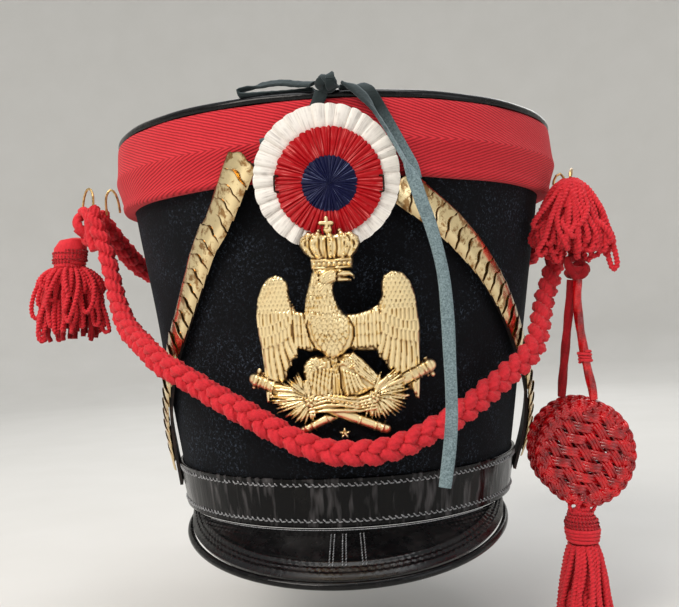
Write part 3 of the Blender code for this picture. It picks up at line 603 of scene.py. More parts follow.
def suede_finish(c):
    # Suede lace: grey-green nap, darker towards the top near the knot and in random patches, with fine cross
    # wrinkles
    made, add, shader, spot = surface("suede_lace", Roughness=0.85, Specular_IOR_Level=0.2,
                                      Sheen_Weight=0.35, Sheen_Roughness=0.5, Sheen_Tint=linear("#B9CBD2"))
    rise = add("SeparateXYZ", {"Vector": spot}).outputs["Z"]
    nap = add("TexNoise", {"Vector": spot, "Scale": per(0.8), "Detail": 3, "Roughness": 0.7})
    squash = add("Mapping", {"Vector": spot, "Scale": (0.35, 0.35, 1)})
    wrinkles = add("TexNoise", {"Vector": squash, "Scale": per(0.95), "Roughness": 0.55, "Distortion": 0.3})
    patches = add("TexNoise", {"Vector": spot, "Scale": per(14), "Detail": 3})
    high = add("MapRange", {0: rise, 1: 168 * MM, 2: 192 * MM})
    stained = add("MapRange", {0: patches, 1: 0.52, 2: 0.78, 3: 0, 4: 0.5})
    darker_share = add("Math", {0: high, 1: stained}, operation="ADD", use_clamp=True)
    pale_share = add("MapRange", {0: nap, 1: 0.35, 2: 0.7})
    napped = add("Mix", {0: pale_share, 6: linear("#55666A"), 7: c.suede}, data_type="RGBA")
    stretched_pattern = add("Bump", {"Strength": 0.6, "Distance": 0.4 * MM, "Height": wrinkles})
    feed(shader, {
        "Base Color": add("Mix", {0: darker_share, 6: napped, 7: linear("#232B2C")}, data_type="RGBA"),
        "Normal": add("Bump", {"Strength": 0.4, "Distance": 0.15 * MM, "Height": nap, "Normal": stretched_pattern})})
    return made


def thread_finish(c):
    # Waxed linen thread, greyed and glinting where it stands proud
    made, add, shader, spot = surface("waxed_thread", Roughness=0.32, Specular_IOR_Level=0.7)
    fibres = add("TexNoise", {"Vector": spot, "Scale": per(0.6)})
    share = add("MapRange", {0: fibres, 1: 0.35, 2: 0.65})
    feed(shader, {
        "Base Color": add("Mix", {0: share, 6: linear("#4A4A4C"), 7: c.thread}, data_type="RGBA"),
        "Normal": add("Bump", {"Strength": 0.5, "Distance": 0.1 * MM, "Height": fibres})})
    return made


def floor_finish():
    # Matt painted studio sweep, very faintly mottled
    made, add, shader, spot = surface("painted_sweep", Roughness=0.95, Specular_IOR_Level=0.1)
    mottle = add("TexNoise", {"Vector": spot, "Scale": per(90), "Detail": 3})
    feed(shader, {
        "Base Color": add("Mix", {0: mottle, 6: linear("#D3D2CE"), 7: linear("#DBDAD7")}, data_type="RGBA"),
        "Normal": add("Bump", {"Strength": 0.05, "Distance": 0.3 * MM, "Height": mottle})})
    return made


FINISH = {}


def mix_finishes(c, sizes):
    FINISH.update(
        felt=felt_finish(c), twill=twill_finish(c, sizes),
        wool=wool_finish("spun_wool", c.wool, c.wool_shade),
        # a darker copy of the spun wool, painted shade for the back hanging cord, the strands inside the left
        # tassel and the knot under the mop
        shade=wool_finish("shaded_spun_wool", linear("#9C161F"), linear("#3E0206")),
        cord=cord_finish(c),
        brass=brass_finish("gilt_stamped_brass", c, 0.28, 0.3, 0.54, 0.80, c.tarnish),
        # on the chin scales the brown toned patches are painted reflections, on the plate they are tarnish
        scale=brass_finish("polished_scale_brass", c, 0.14, 0.85, 0.50, 0.60, linear("#93642E")),
        wire=wire_finish("drawn_brass_wire", "#D9B678", "#5D4322", 0.3, 0.2),
        iron=wire_finish("blackened_iron_wire", "#26211F", "#5A3F30", 0.42, 0.3),
        # the last number of each patent finish is how pale its painted highlight streaks are
        patent=patent_finish("patent_leather", c, 0.12, 0.5, 0.12, 0.14, 0.34),
        glazed=patent_finish("glazed_crown_leather", c, 0.14, 0.3, 0.2, 1, 0.03),
        tooled=patent_finish("tooled_patent_leather", c, 0.2, 0.2, 0.4, 1, 0.03),
        leather=leather_finish(c), suede=suede_finish(c), thread=thread_finish(c),
        # streak colours: grey painted shade on the white, pale painted highlights on the red and navy
        white=ribbon_finish("white_satin_ribbon", c.white, "#B9B2AC", 0.42, 0.72, 0.42),
        red=ribbon_finish("red_satin_ribbon", c.red_ribbon, "#F0807C", 0.53, 0.72, 0.36),
        navy=ribbon_finish("navy_satin_ribbon", c.navy, "#8C96C0", 0.58, 0.78, 0.42),
        floor=floor_finish())


# ---------------------------------------------------------------- stage, camera and light

# The photo's camera, solved on the hat's circles: turn in degrees, distance and height in metres
CAMERA_TURN, CAMERA_REACH, CAMERA_HEIGHT = 1.7, 0.5025, 0.0957
CAMERA_PITCH, CAMERA_ROLL, LENS, LENS_SHIFT = 0.0224, 0.045, 45.464, -0.0019
SWEEP_LINE = [(-76, 200), (-76, 900), (-76, 1700), (-40, 1950), (60, 2150), (250, 2300), (560, 2380),
              (1100, 2400), (1900, 2400)]


def build_camera():
    turn = radians(CAMERA_TURN)
    level, rise = cos(CAMERA_PITCH), sin(CAMERA_PITCH)
    right = Vector((cos(turn), sin(turn), 0))
    ahead = Vector((-sin(turn) * level, cos(turn) * level, rise))
    up = right.cross(ahead)
    across = right * cos(CAMERA_ROLL) - up * sin(CAMERA_ROLL)
    head = right * sin(CAMERA_ROLL) + up * cos(CAMERA_ROLL)
    spot = (CAMERA_REACH * sin(turn), -CAMERA_REACH * cos(turn), CAMERA_HEIGHT)
    bpy.ops.object.camera_add(location=spot)
    camera = named("studio_camera")
    camera.rotation_euler = Matrix((across, head, -ahead)).transposed().to_euler()
    camera.data.lens = LENS
    camera.data.sensor_width = 36
    camera.data.sensor_fit = "HORIZONTAL"
    camera.data.shift_x = LENS_SHIFT
    camera.data.clip_start = 0.02
    camera.data.dof.use_dof = False
    bpy.context.scene.camera = camera


def softbox(name, spot, target, size, watts, tint):
    bpy.ops.object.light_add(type="AREA", location=spot)
    lamp = named(name)
    lamp.data.shape = "RECTANGLE"
    lamp.data.size, lamp.data.size_y = size
    lamp.data.energy = watts
    lamp.data.color = linear(tint)[:3]
    lamp.rotation_euler = (Vector(spot) - Vector(target)).to_track_quat("Z", "Y").to_euler()


def build_stage():
    floor = drawn_up("studio_sweep", round_rings(SWEEP_LINE), 64, end=False)
    pick(floor)
    floor.data.transform(Matrix.Scale(MM, 4))
    bpy.ops.object.shade_smooth()
    floor.data.materials.append(FINISH["floor"])
    world = bpy.data.worlds.new("studio_air")
    world.use_nodes = True
    air = world.node_tree.nodes["Background"]
    air.inputs["Color"].default_value = linear("#EEF1F4")
    air.inputs["Strength"].default_value = 0.46
    bpy.context.scene.world = world
    softbox("key_window", (-0.85, -1.15, 1.25), (0, 0, 0.10), (1.1, 0.9), 26, "#FFF8F0")
    softbox("fill_wall", (1.35, -0.9, 0.55), (0, 0, 0.08), (0.9, 1.2), 4.5, "#F1F6FF")
    softbox("top_light", (0.05, -0.1, 1.7), (0, 0, 0.15), (1.2, 1), 12, "#FFFFFF")
    softbox("back_light", (0.3, 1.5, 1), (0, 0, 0.12), (1.4, 0.8), 8, "#FFFFFF")
    bpy.context.scene.view_settings.view_transform = "Standard"


# ---------------------------------------------------------------- plaits, cords and laces

def on_hat(*rows):
    """Points of a route that lies on the felt, from angle, height and distance outside it."""
    return [tuple(on_body(angle, z, out)) for angle, z, out in rows]


# Routes of the plaits and of the raquettes' cords
FRONT_BRAID = [
    (-138.5, -18, 167.5), (-136.2, -18.5, 156), (-132.2, -20, 145.5), (-129.2, -22.5, 135.4),
    (-126.2, -26, 125.4), (-123.4, -31, 115.6), (-118.6, -38.5, 105.8), (-112, -49, 97.6)] + on_hat(
    (-60, 91.2, 15), (-54, 86, 14.3), (-48.5, 80, 13.5), (-43.5, 75.6, 12.6), (-38.6, 70.4, 10.4),
    (-33, 65.2, 9.4), (-27.4, 60.2, 9), (-20.9, 53.4, 9), (-13.7, 46, 8.8), (-8, 40.8, 8.8),
    (-2.5, 37.2, 8.8), (3.4, 36, 8.8), (8.6, 36.3, 8.8), (14.5, 38.4, 8.8), (21.5, 43, 9), (29, 49, 9.4),
    (35.4, 55.8, 10), (41.4, 62.2, 11.4), (47.3, 68.8, 12.8), (53, 76, 15), (58, 84.6, 15.2)) + [
    (105.6, -54, 94.6), (109.2, -46, 103.8), (112.8, -40.5, 111), (117.4, -34, 120), (121.4, -28.8, 132),
    (125.2, -24.6, 147), (127.8, -21.6, 157.6), (128.4, -20.6, 165)]
BACK_BRAID = [
    (-137.6, -5, 166.8), (-136.8, -3, 161), (-134.4, 5, 153), (-130.4, 18, 144.4), (-124, 34, 135)] + on_hat(
    (-117, 123, 10.5), (-128, 108, 9), (-141, 92.5, 8.4), (-154, 80.5, 8.2), (-167, 73.5, 8.2),
    (-180, 71, 8.2), (167, 73.5, 8.2), (154, 80.5, 8.2), (141, 92.5, 8.4), (128, 108, 9),
    (115, 123.5, 10.6)) + [
    (122.6, 33, 136), (128.6, 16, 145), (131.2, 2, 153), (131, -6.6, 160), (130.8, -7.8, 165)]
CORD_BACK = (
    (122.7, -50.4, 112.6), (121.6, -50.2, 104.6), (120.5, -50.2, 96), (118.8, -50, 84), (117.3, -49.2, 72),
    (116, -47.8, 60), (115.4, -46.4, 51.9))
CORD_FRONT = (
    (124.8, -54.8, 112.6), (124.2, -54.7, 104.6), (124.6, -54, 92), (126, -53.4, 80), (128, -53, 66),
    (130, -52.4, 56), (130.6, -52.2, 50))

# The ways that the lace's flat side looks, and its routes as rows of (point, way)
UP, DOWN, OUT, TILT = (0, 0, 1), (0, 0, -1), (0, -1, 0), (0.3, -0.7, 0.6)
FACING, EDGE = (0, -0.6, 0.8), (0.88, -0.25, 0.45)
LACE_TAIL = (
    ((9, -125.4, 201.4), UP), ((13.2, -126.6, 199.2), TILT), ((17.8, -128, 194.4), TILT),
    ((22.2, -129.4, 187.6), EDGE), ((25.8, -130.2, 181.4), EDGE), ((29.9, -130.8, 173.6), EDGE),
    ((34.4, -131.4, 164.6), EDGE), ((38.2, -131.6, 155.4), OUT), ((40.7, -131.6, 147), OUT),
    ((44.8, -131.4, 134.1), OUT), ((48.6, -130.4, 116), OUT), ((49.8, -129.4, 98), OUT),
    ((50, -128.4, 78), OUT), ((49.9, -127.6, 56), OUT), ((48.4, -127, 40), OUT), ((45.5, -126.2, 22), OUT))
LACE_LOOP = (
    ((-4.5, -122.4, 202.6), FACING), ((-8.6, -119.8, 203.4), FACING), ((-13, -117.8, 204.4), FACING),
    ((-18, -116.2, 205.6), FACING), ((-23, -114.6, 206), FACING), ((-28.6, -113.2, 205.7), FACING),
    ((-34, -112.4, 205), UP), ((-38, -112.6, 204.2), (-0.6, 0, 0.8)), ((-39.4, -113, 202.9), (-1, 0, 0)),
    ((-38, -113.4, 201.8), (-0.6, 0, -0.8)), ((-33, -114.2, 201.5), DOWN), ((-26, -114.6, 201.5), DOWN),
    ((-19, -114.6, 201.5), DOWN), ((-12, -115.2, 201.5), DOWN), ((-4.2, -117, 201.5), DOWN))
TIE_LEFT = (
    ((-0.6, -124.7, 198.3), OUT), ((-1.8, -124.8, 195.5), OUT), ((-3.6, -124.8, 191.5), OUT),
    ((-8, -124.4, 185.6), OUT), ((-14.6, -123.9, 180.8), OUT), ((-21.6, -123.2, 178.2), OUT),
    ((-29, -122.2, 176.6), OUT))
TIE_RIGHT = (
    ((7.2, -119, 201.6), UP), ((12.4, -118.4, 201.6), UP), ((17, -120.4, 201.5), TILT),
    ((20.6, -123.8, 197.6), OUT), ((24.6, -123.2, 191), OUT), ((29.6, -121.8, 181.5), OUT),
    ((34.6, -120.4, 171.5), OUT), ((38.2, -119.8, 164), OUT), ((39.4, -119.6, 158.4), OUT))


# Radius of a plait's strand, its swing aside and outward, and the length of its own twist; radius and twist
# of the cords that carry the raquettes; width of the lace
STRAND_RADIUS, STRAND_SWING, STRAND_RISE, STRAND_TWIST = 3.2, 3.25, 2.1, 15
HANGING_RADIUS, HANGING_TWIST = 2.4, 70
LACE_WIDTH = 5.6


def plait(name, route, pitch, seed):
    """Three wool strands plaited flat along the route."""
    points = even_points(route, 1.5)
    along = tangents(points)
    rng = random.Random(seed)
    wander = [rng.uniform(0, 6.28) for _ in range(6)]
    gone, strands = 0, ([], [], [])
    for i, (point, run) in enumerate(zip(points, along)):
        gone += (point - points[i - 1]).length if i else 0
        out = outward(point)
        side = run.cross(out).normalized()
        out = side.cross(run)
        phase = 2 * pi * gone / pitch + 0.35 * sin(gone / 31 + wander[0])
        ease = min(1, 0.35 + i / 14, 0.35 + (len(points) - 1 - i) / 14)
        for k, strand in enumerate(strands):
            t = phase + k * 2 * pi / 3
            stray = 0.25 * sin(gone / 7 + wander[k])
            strand.append(point + side * (STRAND_SWING * ease * sin(t) + stray)
                          + out * (STRAND_RISE * ease * sin(2 * t) + stray * 0.5))
    piece = swept(name, strands, STRAND_RADIUS, lobes=5, depth=0.17, count=20, pitch=STRAND_TWIST,
                  swell=lambda k, t: 1 + 0.05 * sin(t * 90 + k * 2))
    return piece, points


def build_plaits(pitch):
    for name, route, seed in (("front_plait", FRONT_BRAID, 3), ("back_plait", BACK_BRAID, 5)):
        piece, points = plait(name, route, pitch, seed)
        wear(piece, "wool", "red_wool", name.replace("plait", "braid"))


def build_raquette_cords():
    # the back hanging cord takes the darker wool as painted shade
    for name, route, node_name, finish_key in (("back_hanging_cord", CORD_BACK, "raquette_cord_back", "shade"),
                                        ("front_hanging_cord", CORD_FRONT, "raquette_cord_front", "cord")):
        points = even_points(route, 0.9)
        piece = swept(name, [points], HANGING_RADIUS, lobes=4, depth=0.26, count=16, pitch=HANGING_TWIST)
        wear(piece, finish_key, "red_cord", node_name)


def build_cord_binding():
    """A few turns of cord that bind the front hanging cord half way down."""
    core_line = ((76, 126.6, -53.3, 3.7, 3.7), (69, 127.2, -53.1, 3.7, 3.7))
    binding = whipping("front_cord_binding", core_line, 0.85, 69.6, 75.4, 0.2)
    wear(binding, "wool", "red_cord")


def lace_form(name, rows, width, thick, seed):
    """Flat lace cut from suede: rounded edges, a little wavy, along rows of (point, face normal)."""
    points = even_points([row[0] for row in rows], 1.3)
    legs = np.array([0] + [(Vector(b[0]) - Vector(a[0])).length for a, b in zip(rows, rows[1:])]).cumsum()
    faces = np.array([row[1] for row in rows])
    where = np.linspace(0, legs[-1], len(points))
    normals = [Vector(row) for row in np.stack([np.interp(where, legs, faces[:, k]) for k in range(3)], 1)]
    rng = random.Random(seed)
    phase = [rng.uniform(0, 6.28) for _ in range(2)]
    rings = []
    for i, (point, run, normal) in enumerate(zip(points, tangents(points), normals)):
        gone = 1.3 * i
        across = run.cross(normal).normalized()
        normal = across.cross(run)
        half = width / 2 * (1 + 0.05 * sin(gone / 9 + phase[0]))
        cup = 0.3 * sin(gone / 17 + phase[1])
        ring = []
        for u, v in ((-1, 0), (-0.86, 0.8), (-0.4, 1), (0, 1), (0.4, 1), (0.86, 0.8),
                     (1, 0), (0.86, -0.8), (0.4, -1), (0, -1), (-0.4, -1), (-0.86, -0.8)):
            crimp = 0.14 * sin(gone * 3.4 + u * 2) * abs(u)
            rise = thick / 2 * v * (1 + crimp) + cup * (u * u - 0.5)
            ring.append(point + across * half * u + normal * rise)
        rings.append(ring)
    return skinned(name, rings), points


def build_laces():
    for name, rows, thick, seed in (("lace_tail", LACE_TAIL, 1.6, 1), ("lace_loop", LACE_LOOP, 1.5, 2),
                                    ("lace_tie_left", TIE_LEFT, 1.2, 3),
                                    ("lace_tie_right", TIE_RIGHT, 1.2, 4)):
        piece, points = lace_form(name + "_suede", rows, LACE_WIDTH, thick, seed)
        wear(piece, "suede", "lace_suede", name, angle=50)


def build_lace_knot():
    """The overhand knot: two turns of lace over a small core."""
    centre = Vector((2, -124.8, 201.7))
    core = drawn_up("lace_knot_core", [(-4.4, 1.2, 0.9, 0, 0), (-3.6, 3, 1.9, 0, 0), (-1.6, 4.2, 2.4, 0, 0),
                                       (1.6, 4.2, 2.4, 0, 0), (3.6, 3, 1.9, 0, 0), (4.4, 1.2, 0.9, 0, 0)], 28)
    place(core, Matrix.Translation(centre) @ Matrix.Rotation(radians(90), 4, "Y"))
    turns = [core]
    for lean, reach, shift in ((18, 1, -1.9), (-26, 1.08, 1.6)):
        ring = [Vector((shift + 1.1 * sin(t * 2), -5 * reach * cos(t), 2.85 * reach * sin(t)))
                for t in np.linspace(0, 2 * pi, 41)]
        tilt = Matrix.Translation(centre) @ Matrix.Rotation(radians(lean), 4, "Y")
        rows = [(tuple(tilt @ p), tuple((tilt.to_3x3() @ Vector((0, p.y / 25, p.z / 8.1))).normalized()))
                for p in ring[::2]]
        turns.append(lace_form("lace_turn", rows, 4.2, 1.3, int(lean))[0])
    piece = joined("lace_knot_turns", turns)
    wear(piece, "suede", "lace_suede", "lace_knot", angle=50, check=False)


# ---------------------------------------------------------------- felt body, band, base band

FELT_WALL, BAND_GAP = 2.5, 0.35


def body_rings(levels, out):
    """Ovals of the body at each level, `out` mm outside the felt."""
    return [(z, half_width(z) + out, half_length(z) + out, 0, 0) for z in levels]


def build_felt():
    """Felt body, open below, its wall drawn up outside and down again inside."""
    up = [0.8, 1.4] + list(np.linspace(4, 192, 34)) + [195.4, 196]
    down = [196] + list(np.linspace(192, 4, 12)) + [0.8]
    rings = (body_rings(up[:1], -0.7) + body_rings(up[1:-1], 0) + body_rings(up[-1:], -0.5)
             + body_rings(down, -FELT_WALL))
    body = drawn_up("felt_body", rings, 176, False, False)
    close_ring_ends(body)

    def settle(x, y, z):
        turn = np.arctan2(x, -y)
        dent = (0.35 * np.sin(3 * turn + z / 40) + 0.25 * np.sin(7 * turn - z / 23)
                + 0.12 * np.sin(13 * turn + z / 11))
        share = 1 + dent * np.clip((z - 26) / 30, 0, 1) * np.clip((158 - z) / 20, 0, 1) / 110
        return x * share, y * share, z

    sculpt(body, settle)
    wear(body, "felt", "felt", "felt_shell", angle=50)


# Section of the wool band's outside: height and radius
BAND_LINE = (
    (196.1, 121), (195.9, 121.9), (194.6, 122.7), (190, 123.2), (184, 123.6), (180, 124.1), (177.6, 124.5),
    (175.6, 124.2), (172, 123), (168, 121.9), (165.4, 121.3), (163.8, 121.5), (162.4, 121.3),
    (161.3, 120.5), (160.8, 119.2))


def build_top_band():
    """Ribbed wool band: a soft fold at mid height, a rolled lower edge."""
    line = smooth_points([(r, 0, z) for z, r in BAND_LINE], 0.9)
    outer = round_rings([(p.z, p.x) for p in reversed(line)])
    inner = body_rings((196, 190, 180, 170, 161), BAND_GAP)
    band = drawn_up("wool_band", outer + inner, 224, False, False)
    close_ring_ends(band)

    def soften(x, y, z):
        turn = np.arctan2(x, -y)
        outside = np.clip((np.hypot(x, y) - half_width(z) - 0.8) / 0.6, 0, 1)
        swell = (0.30 * np.sin(5 * turn + 0.6) + 0.22 * np.sin(11 * turn + z / 14)
                 + 0.12 * np.sin(23 * turn - z / 6))
        drop = 0.35 * np.sin(4 * turn + 1) + 0.25 * np.sin(9 * turn)
        low = np.clip((168 - z) / 7, 0, 1)
        share = 1 + outside * swell / 122
        return x * share, y * share, z + drop * low * outside

    sculpt(band, soften)
    unroll(band, 122)
    wear(band, "twill", "red_wool", "top_band")


def chain_stitch():
    """One stitch of twisted thread: a small bent lozenge, laid along Y."""
    bpy.ops.mesh.primitive_uv_sphere_add(segments=8, ring_count=6, radius=1)
    stitch = named("stitch")
    bpy.ops.object.mode_set(mode="EDIT")
    bpy.ops.mesh.select_all(action="SELECT")
    bpy.ops.transform.resize(value=(0.42, 1.15, 0.40))
    bpy.ops.object.mode_set(mode="OBJECT")
    return sculpt(stitch, lambda x, y, z: (x + 0.22 * np.sin(y * 1.6), y, z + 0.12 * (1 - y * y)))


def build_base_band(pitch):
    """Patent band with a fine raised edge top and bottom and two rows of chain stitching."""
    line = ((0, 0.5), (-0.1, 1.4), (0.4, 2.1), (1.2, 2.2), (2, 1.9), (3.4, 1.85), (12, 1.9), (19.6, 1.85),
            (21.6, 1.9), (22.4, 2.2), (23.2, 2.1), (23.6, 1.5), (23.5, 0.6))
    rings = [(z, half_width(max(z, 0)) + out, half_length(max(z, 0)) + out, 0, 0) for z, out in line]
    rings += body_rings((20, 12, 3), BAND_GAP)
    band = drawn_up("patent_base_band", rings, 200, False, False)
    close_ring_ends(band)

    def cockle(x, y, z):
        turn = np.arctan2(x, -y)
        wave = 0.16 * np.sin(31 * turn + z / 5) + 0.10 * np.sin(17 * turn)
        share = 1 + wave * np.clip(np.sin(np.pi * z / 23.5), 0, 1) / 95
        return x * share, y * share, z

    sculpt(band, cockle)
    wear(band, "patent", "patent_leather", "base_band", angle=45)

    model = chain_stitch()
    rng = random.Random(11)
    rows = []
    for height in (3.3, 20.3):
        a, b = half_width(height) + 2, half_length(height) + 2
        ring = even_points([(a * sin(t), -b * cos(t), height) for t in np.linspace(0, 2 * pi, 65)],
                           pitch / MM / 2)
        for i, (point, run) in enumerate(zip(ring[:-1], tangents(ring))):
            # some stitches of the upper row are worn away left of the front
            if height > 10 and -62 < math.degrees(math.atan2(point.x, -point.y)) < -8 and rng.random() < 0.12:
                continue
            flip = 1 if i % 2 else -1
            spot = stand(point, run, outward(point)) @ Matrix.Rotation(radians(flip * 24), 4, "Z")
            lift = Matrix.Translation((flip * 0.42, 0, rng.uniform(-0.1, 0.15)))
            rows.append(copy_of(model, spot @ lift @ Matrix.Scale(rng.uniform(0.82, 1.05), 4)))
    bpy.data.objects.remove(model)
    stitches = joined("band_stitches", rows)
    wear(stitches, "thread", "patent_leather", check=False)


# ---------------------------------------------------------------- crown and visor

# Section of the crown from its lower edge over the rim to the middle: radius and height
CROWN_LINE = (
    (122.2, 196.3), (122.7, 197), (122.8, 197.9), (122.4, 198.9), (121.4, 199.8), (119.9, 200.3),
    (118.2, 200.3), (116.6, 199.9), (115, 199), (112.6, 197.4), (110, 196.2), (107.4, 195.5),
    (104.8, 195.3), (101, 195.4), (92, 195.6), (88, 195.8), (60, 195.9), (30, 195.9), (4, 195.9))


def build_crown():
    """Leather crown: rolled rim, groove inside it, a nearly flat middle, and its plug inside the felt."""
    line = [(117, 193.2), (117.4, 196.3)] + list(CROWN_LINE)
    crown = drawn_up("crown_leather", round_rings([(z, r) for r, z in line]), 192)

    def sag(x, y, z):
        turn, reach = np.arctan2(x, -y), np.hypot(x, y)
        top = (z > 195) & (reach < 112)
        dip = (0.35 * np.sin(2 * turn + 1) + 0.2 * np.sin(5 * turn)) * np.clip(1 - reach / 112, 0, 1)
        ripple = 0.10 * np.sin(19 * turn) * (reach > 112)
        return x, y, z + np.where(top, dip - 0.3 * np.cos(reach / 112 * 1.57), ripple)

    sculpt(crown, sag)
    wear(crown, "glazed", "patent_leather", "crown_top", angle=45)


# The visor: its edge is an oval round a centre behind the front, and its tip hangs lower than its ends
VISOR_HALF_WIDTH, VISOR_REACH, VISOR_CENTRE_Y = 82.8, 91.7, -39
VISOR_TIP_DROP, VISOR_END_DROP, VISOR_THICK, BEAD_RADIUS = 16.6, 2.6, 2.2, 1.8
VISOR_END_TURN, VISOR_SHEET_TURN, VISOR_SEAM_TURN = 1.62, 1.50, 64.4


def visor_edge(turn):
    end = cos(VISOR_END_TURN)
    drop = VISOR_END_DROP + (VISOR_TIP_DROP - VISOR_END_DROP) * (cos(turn) - end) / (1 - end)
    return Vector((VISOR_HALF_WIDTH * sin(turn), VISOR_CENTRE_Y - VISOR_REACH * cos(turn), -drop))


def visor_point(turn, share, lift):
    """A point of the visor's upper face: `share` runs from the hinge at the band to the bead."""
    seam = radians(VISOR_SEAM_TURN) / VISOR_SHEET_TURN
    hinge = Vector(((BASE_HALF_WIDTH + 1.3) * sin(turn * seam),
                    -(BASE_HALF_LENGTH + 1.3) * cos(turn * seam), -0.3))
    bead = visor_edge(turn)
    outer = bead + (hinge - bead).normalized() * (BEAD_RADIUS + 0.3)
    depth = (outer - hinge).length
    point = hinge.lerp(outer, share)
    normal = (outer - hinge).cross(Vector((cos(turn * seam), sin(turn * seam), 0))).normalized()
    if normal.z < 0:
        normal = -normal
    point.z += 1.5 * sin(pi * share) * depth / 45
    return point + normal * lift, depth


def visor_relief(turn, share, depth):
    """Tooling: a plain middle, a raised cord line, then crinkled bands near the edge and along the seam."""
    gap = (1 - share) * depth
    gate = max(0, min(1, (depth - 7) / 9))
    lift = 0
    for centre, width, height in ((9.6, 0.9, 0.45), (3, 0.6, 0.25)):
        lift += height * math.exp(-((gap - centre) / width) ** 2) * gate
    if 3.4 < gap < 9:
        lift += 0.20 * sin(gap * 2.4) + 0.20 * sin(turn * 150 + gap * 1.7)
    near = share * depth
    if 1.6 < near < 7:
        lift += gate * (0.16 * sin(near * 2.4) + 0.16 * sin(turn * 170))
    return lift


def build_visor():
    """Tooled patent visor, its rolled edge bead, three stitched columns in the middle, a stitched seam."""
    deselect()
    bpy.ops.mesh.primitive_grid_add(x_subdivisions=260, y_subdivisions=34, size=2)
    sheet = named("visor_leather")
    for vert in sheet.data.vertices:
        turn = VISOR_SHEET_TURN * vert.co.x
        share = (1 - vert.co.y) / 2
        depth = visor_point(turn, share, 0)[1]
        vert.co = visor_point(turn, share, visor_relief(turn, share, depth))[0]
    thicken(sheet, VISOR_THICK - 0.4)
    wear(sheet, "tooled", "patent_leather", "visor", angle=50)

    turns = np.linspace(-VISOR_END_TURN, VISOR_END_TURN, 121)
    route = [visor_edge(t) - Vector((0, 0, VISOR_THICK / 2)) for t in turns]
    bead = smooth_wire("visor_bead", [route], BEAD_RADIUS, 16,
                       lambda k, t: 0.55 + 0.45 * min(1, 9 * t, 9 * (1 - t)))
    wear(bead, "glazed", "patent_leather", "visor_rim")

    model = chain_stitch()
    rng = random.Random(4)
    stitches = []
    for turn in (-0.075, 0, 0.115):
        for k in range(13):
            share = 0.16 + 0.60 * k / 12
            here = visor_point(turn, share, 0.25)[0]
            ahead = visor_point(turn, share + 0.02, 0.25)[0]
            spot = stand(here, ahead - here, (0, -0.35, 0.94))
            for shift in (-0.8, 0.8):
                stitches.append(copy_of(model, spot @ Matrix.Translation((shift, 0, 0))
                                        @ Matrix.Scale(rng.uniform(0.55, 0.72), 4)))
    for k in range(150):
        turn = -1.12 + 2.24 * k / 149
        here, ahead = visor_point(turn, 0.055, 0.25)[0], visor_point(turn + 0.01, 0.055, 0.25)[0]
        stitches.append(copy_of(model, stand(here, ahead - here, (0, -0.3, 0.95)) @ Matrix.Scale(0.6, 4)))
    bpy.data.objects.remove(model)
    wear(joined("visor_stitches", stitches), "thread", "patent_leather", check=False)


# ---------------------------------------------------------------- cockade

COCKADE_PLACE = Matrix.Translation((0, -124.7, 160)) @ Matrix.Rotation(radians(93), 4, "X")


def pleated_ring(name, centre, inner, outer, back, crown, folds, depth, scallop, seed):
    """Ring of ribbon laid in knife pleats: each one rises slowly and drops over the next."""
    count = folds * 14
    shares = (0, 0.06, 0.16, 0.28, 0.40, 0.52, 0.64, 0.75, 0.85, 0.92, 0.97, 1)
    reaches = [0.4] + [inner + (outer - inner) * s for s in shares]
    total = len(reaches)
    ring = drawn_up(name, round_rings([(0, r) for r in reaches + [outer - 0.2, 0.4]]), count)
    rng = random.Random(seed)
    drift = [rng.uniform(-0.32, 0.32) for _ in range(folds + 1)]
    rise = [rng.uniform(0.72, 1.25) for _ in range(folds + 1)]
    drift[-1], rise[-1] = drift[0], rise[0]
    for index, vert in enumerate(ring.data.vertices):
        row = index // count
        turn = math.atan2(vert.co.x, vert.co.y) % (2 * pi)
        reach = hypot(vert.co.x, vert.co.y)
        spot = turn / (2 * pi) * folds
        spot += drift[int(spot)] * (1 - spot % 1) + drift[int(spot) + 1] * (spot % 1)
        lift = rise[int(spot) % folds] * sin(pi * (spot % 1) ** 0.72) ** 0.7
        share = max(0, min(1, (reach - inner) / (outer - inner)))
        grow = 1
        if row < total:
            vert.co.z = crown(share) + depth * lift * min(1, 0.25 + share * 1.3)
            if row >= total - 3:
                grow += scallop * (lift - 0.45) * (row - total + 4) / 3 / outer
        elif row == total:
            vert.co.z = back + 0.3
            grow += scallop * (lift - 0.45) / outer
        else:
            vert.co.z = back
        vert.co.x, vert.co.y = vert.co.x * grow, vert.co.y * grow
    unroll(ring, outer * 0.8, polar=True)
    place(ring, COCKADE_PLACE @ Matrix.Translation((*centre, 0)))
    return ring


def build_cockade(sizes):
    """Cockade of three pleated ribbons, one laid on another."""
    white = pleated_ring("white_ribbon", (0, 0), 16, 32.2, 0.1, lambda s: 1.5 + 1.1 * sin(s * 2.6),
                         sizes.white_pleats, 1.15, 0.4, 3)
    wear(white, "white", "white_satin", "cockade_white", angle=50)
    red = pleated_ring("red_ribbon", (1, -1.9), 6, 23.6, 2.4, lambda s: 3.6 + 1.1 * sin(s * 2.9),
                       sizes.red_pleats, 0.9, 0.7, 8)
    wear(red, "red", "red_satin", "cockade_red", angle=50)
    navy = pleated_ring("navy_ribbon", (1.2, -3.1), 1.4, 12, 4.4, lambda s: 6.4 - 1.5 * s * s,
                        sizes.navy_pleats, 0.55, 0.5, 6)
    wear(navy, "navy", "navy_satin", "cockade_blue", angle=50)


# ---------------------------------------------------------------- eagle plate

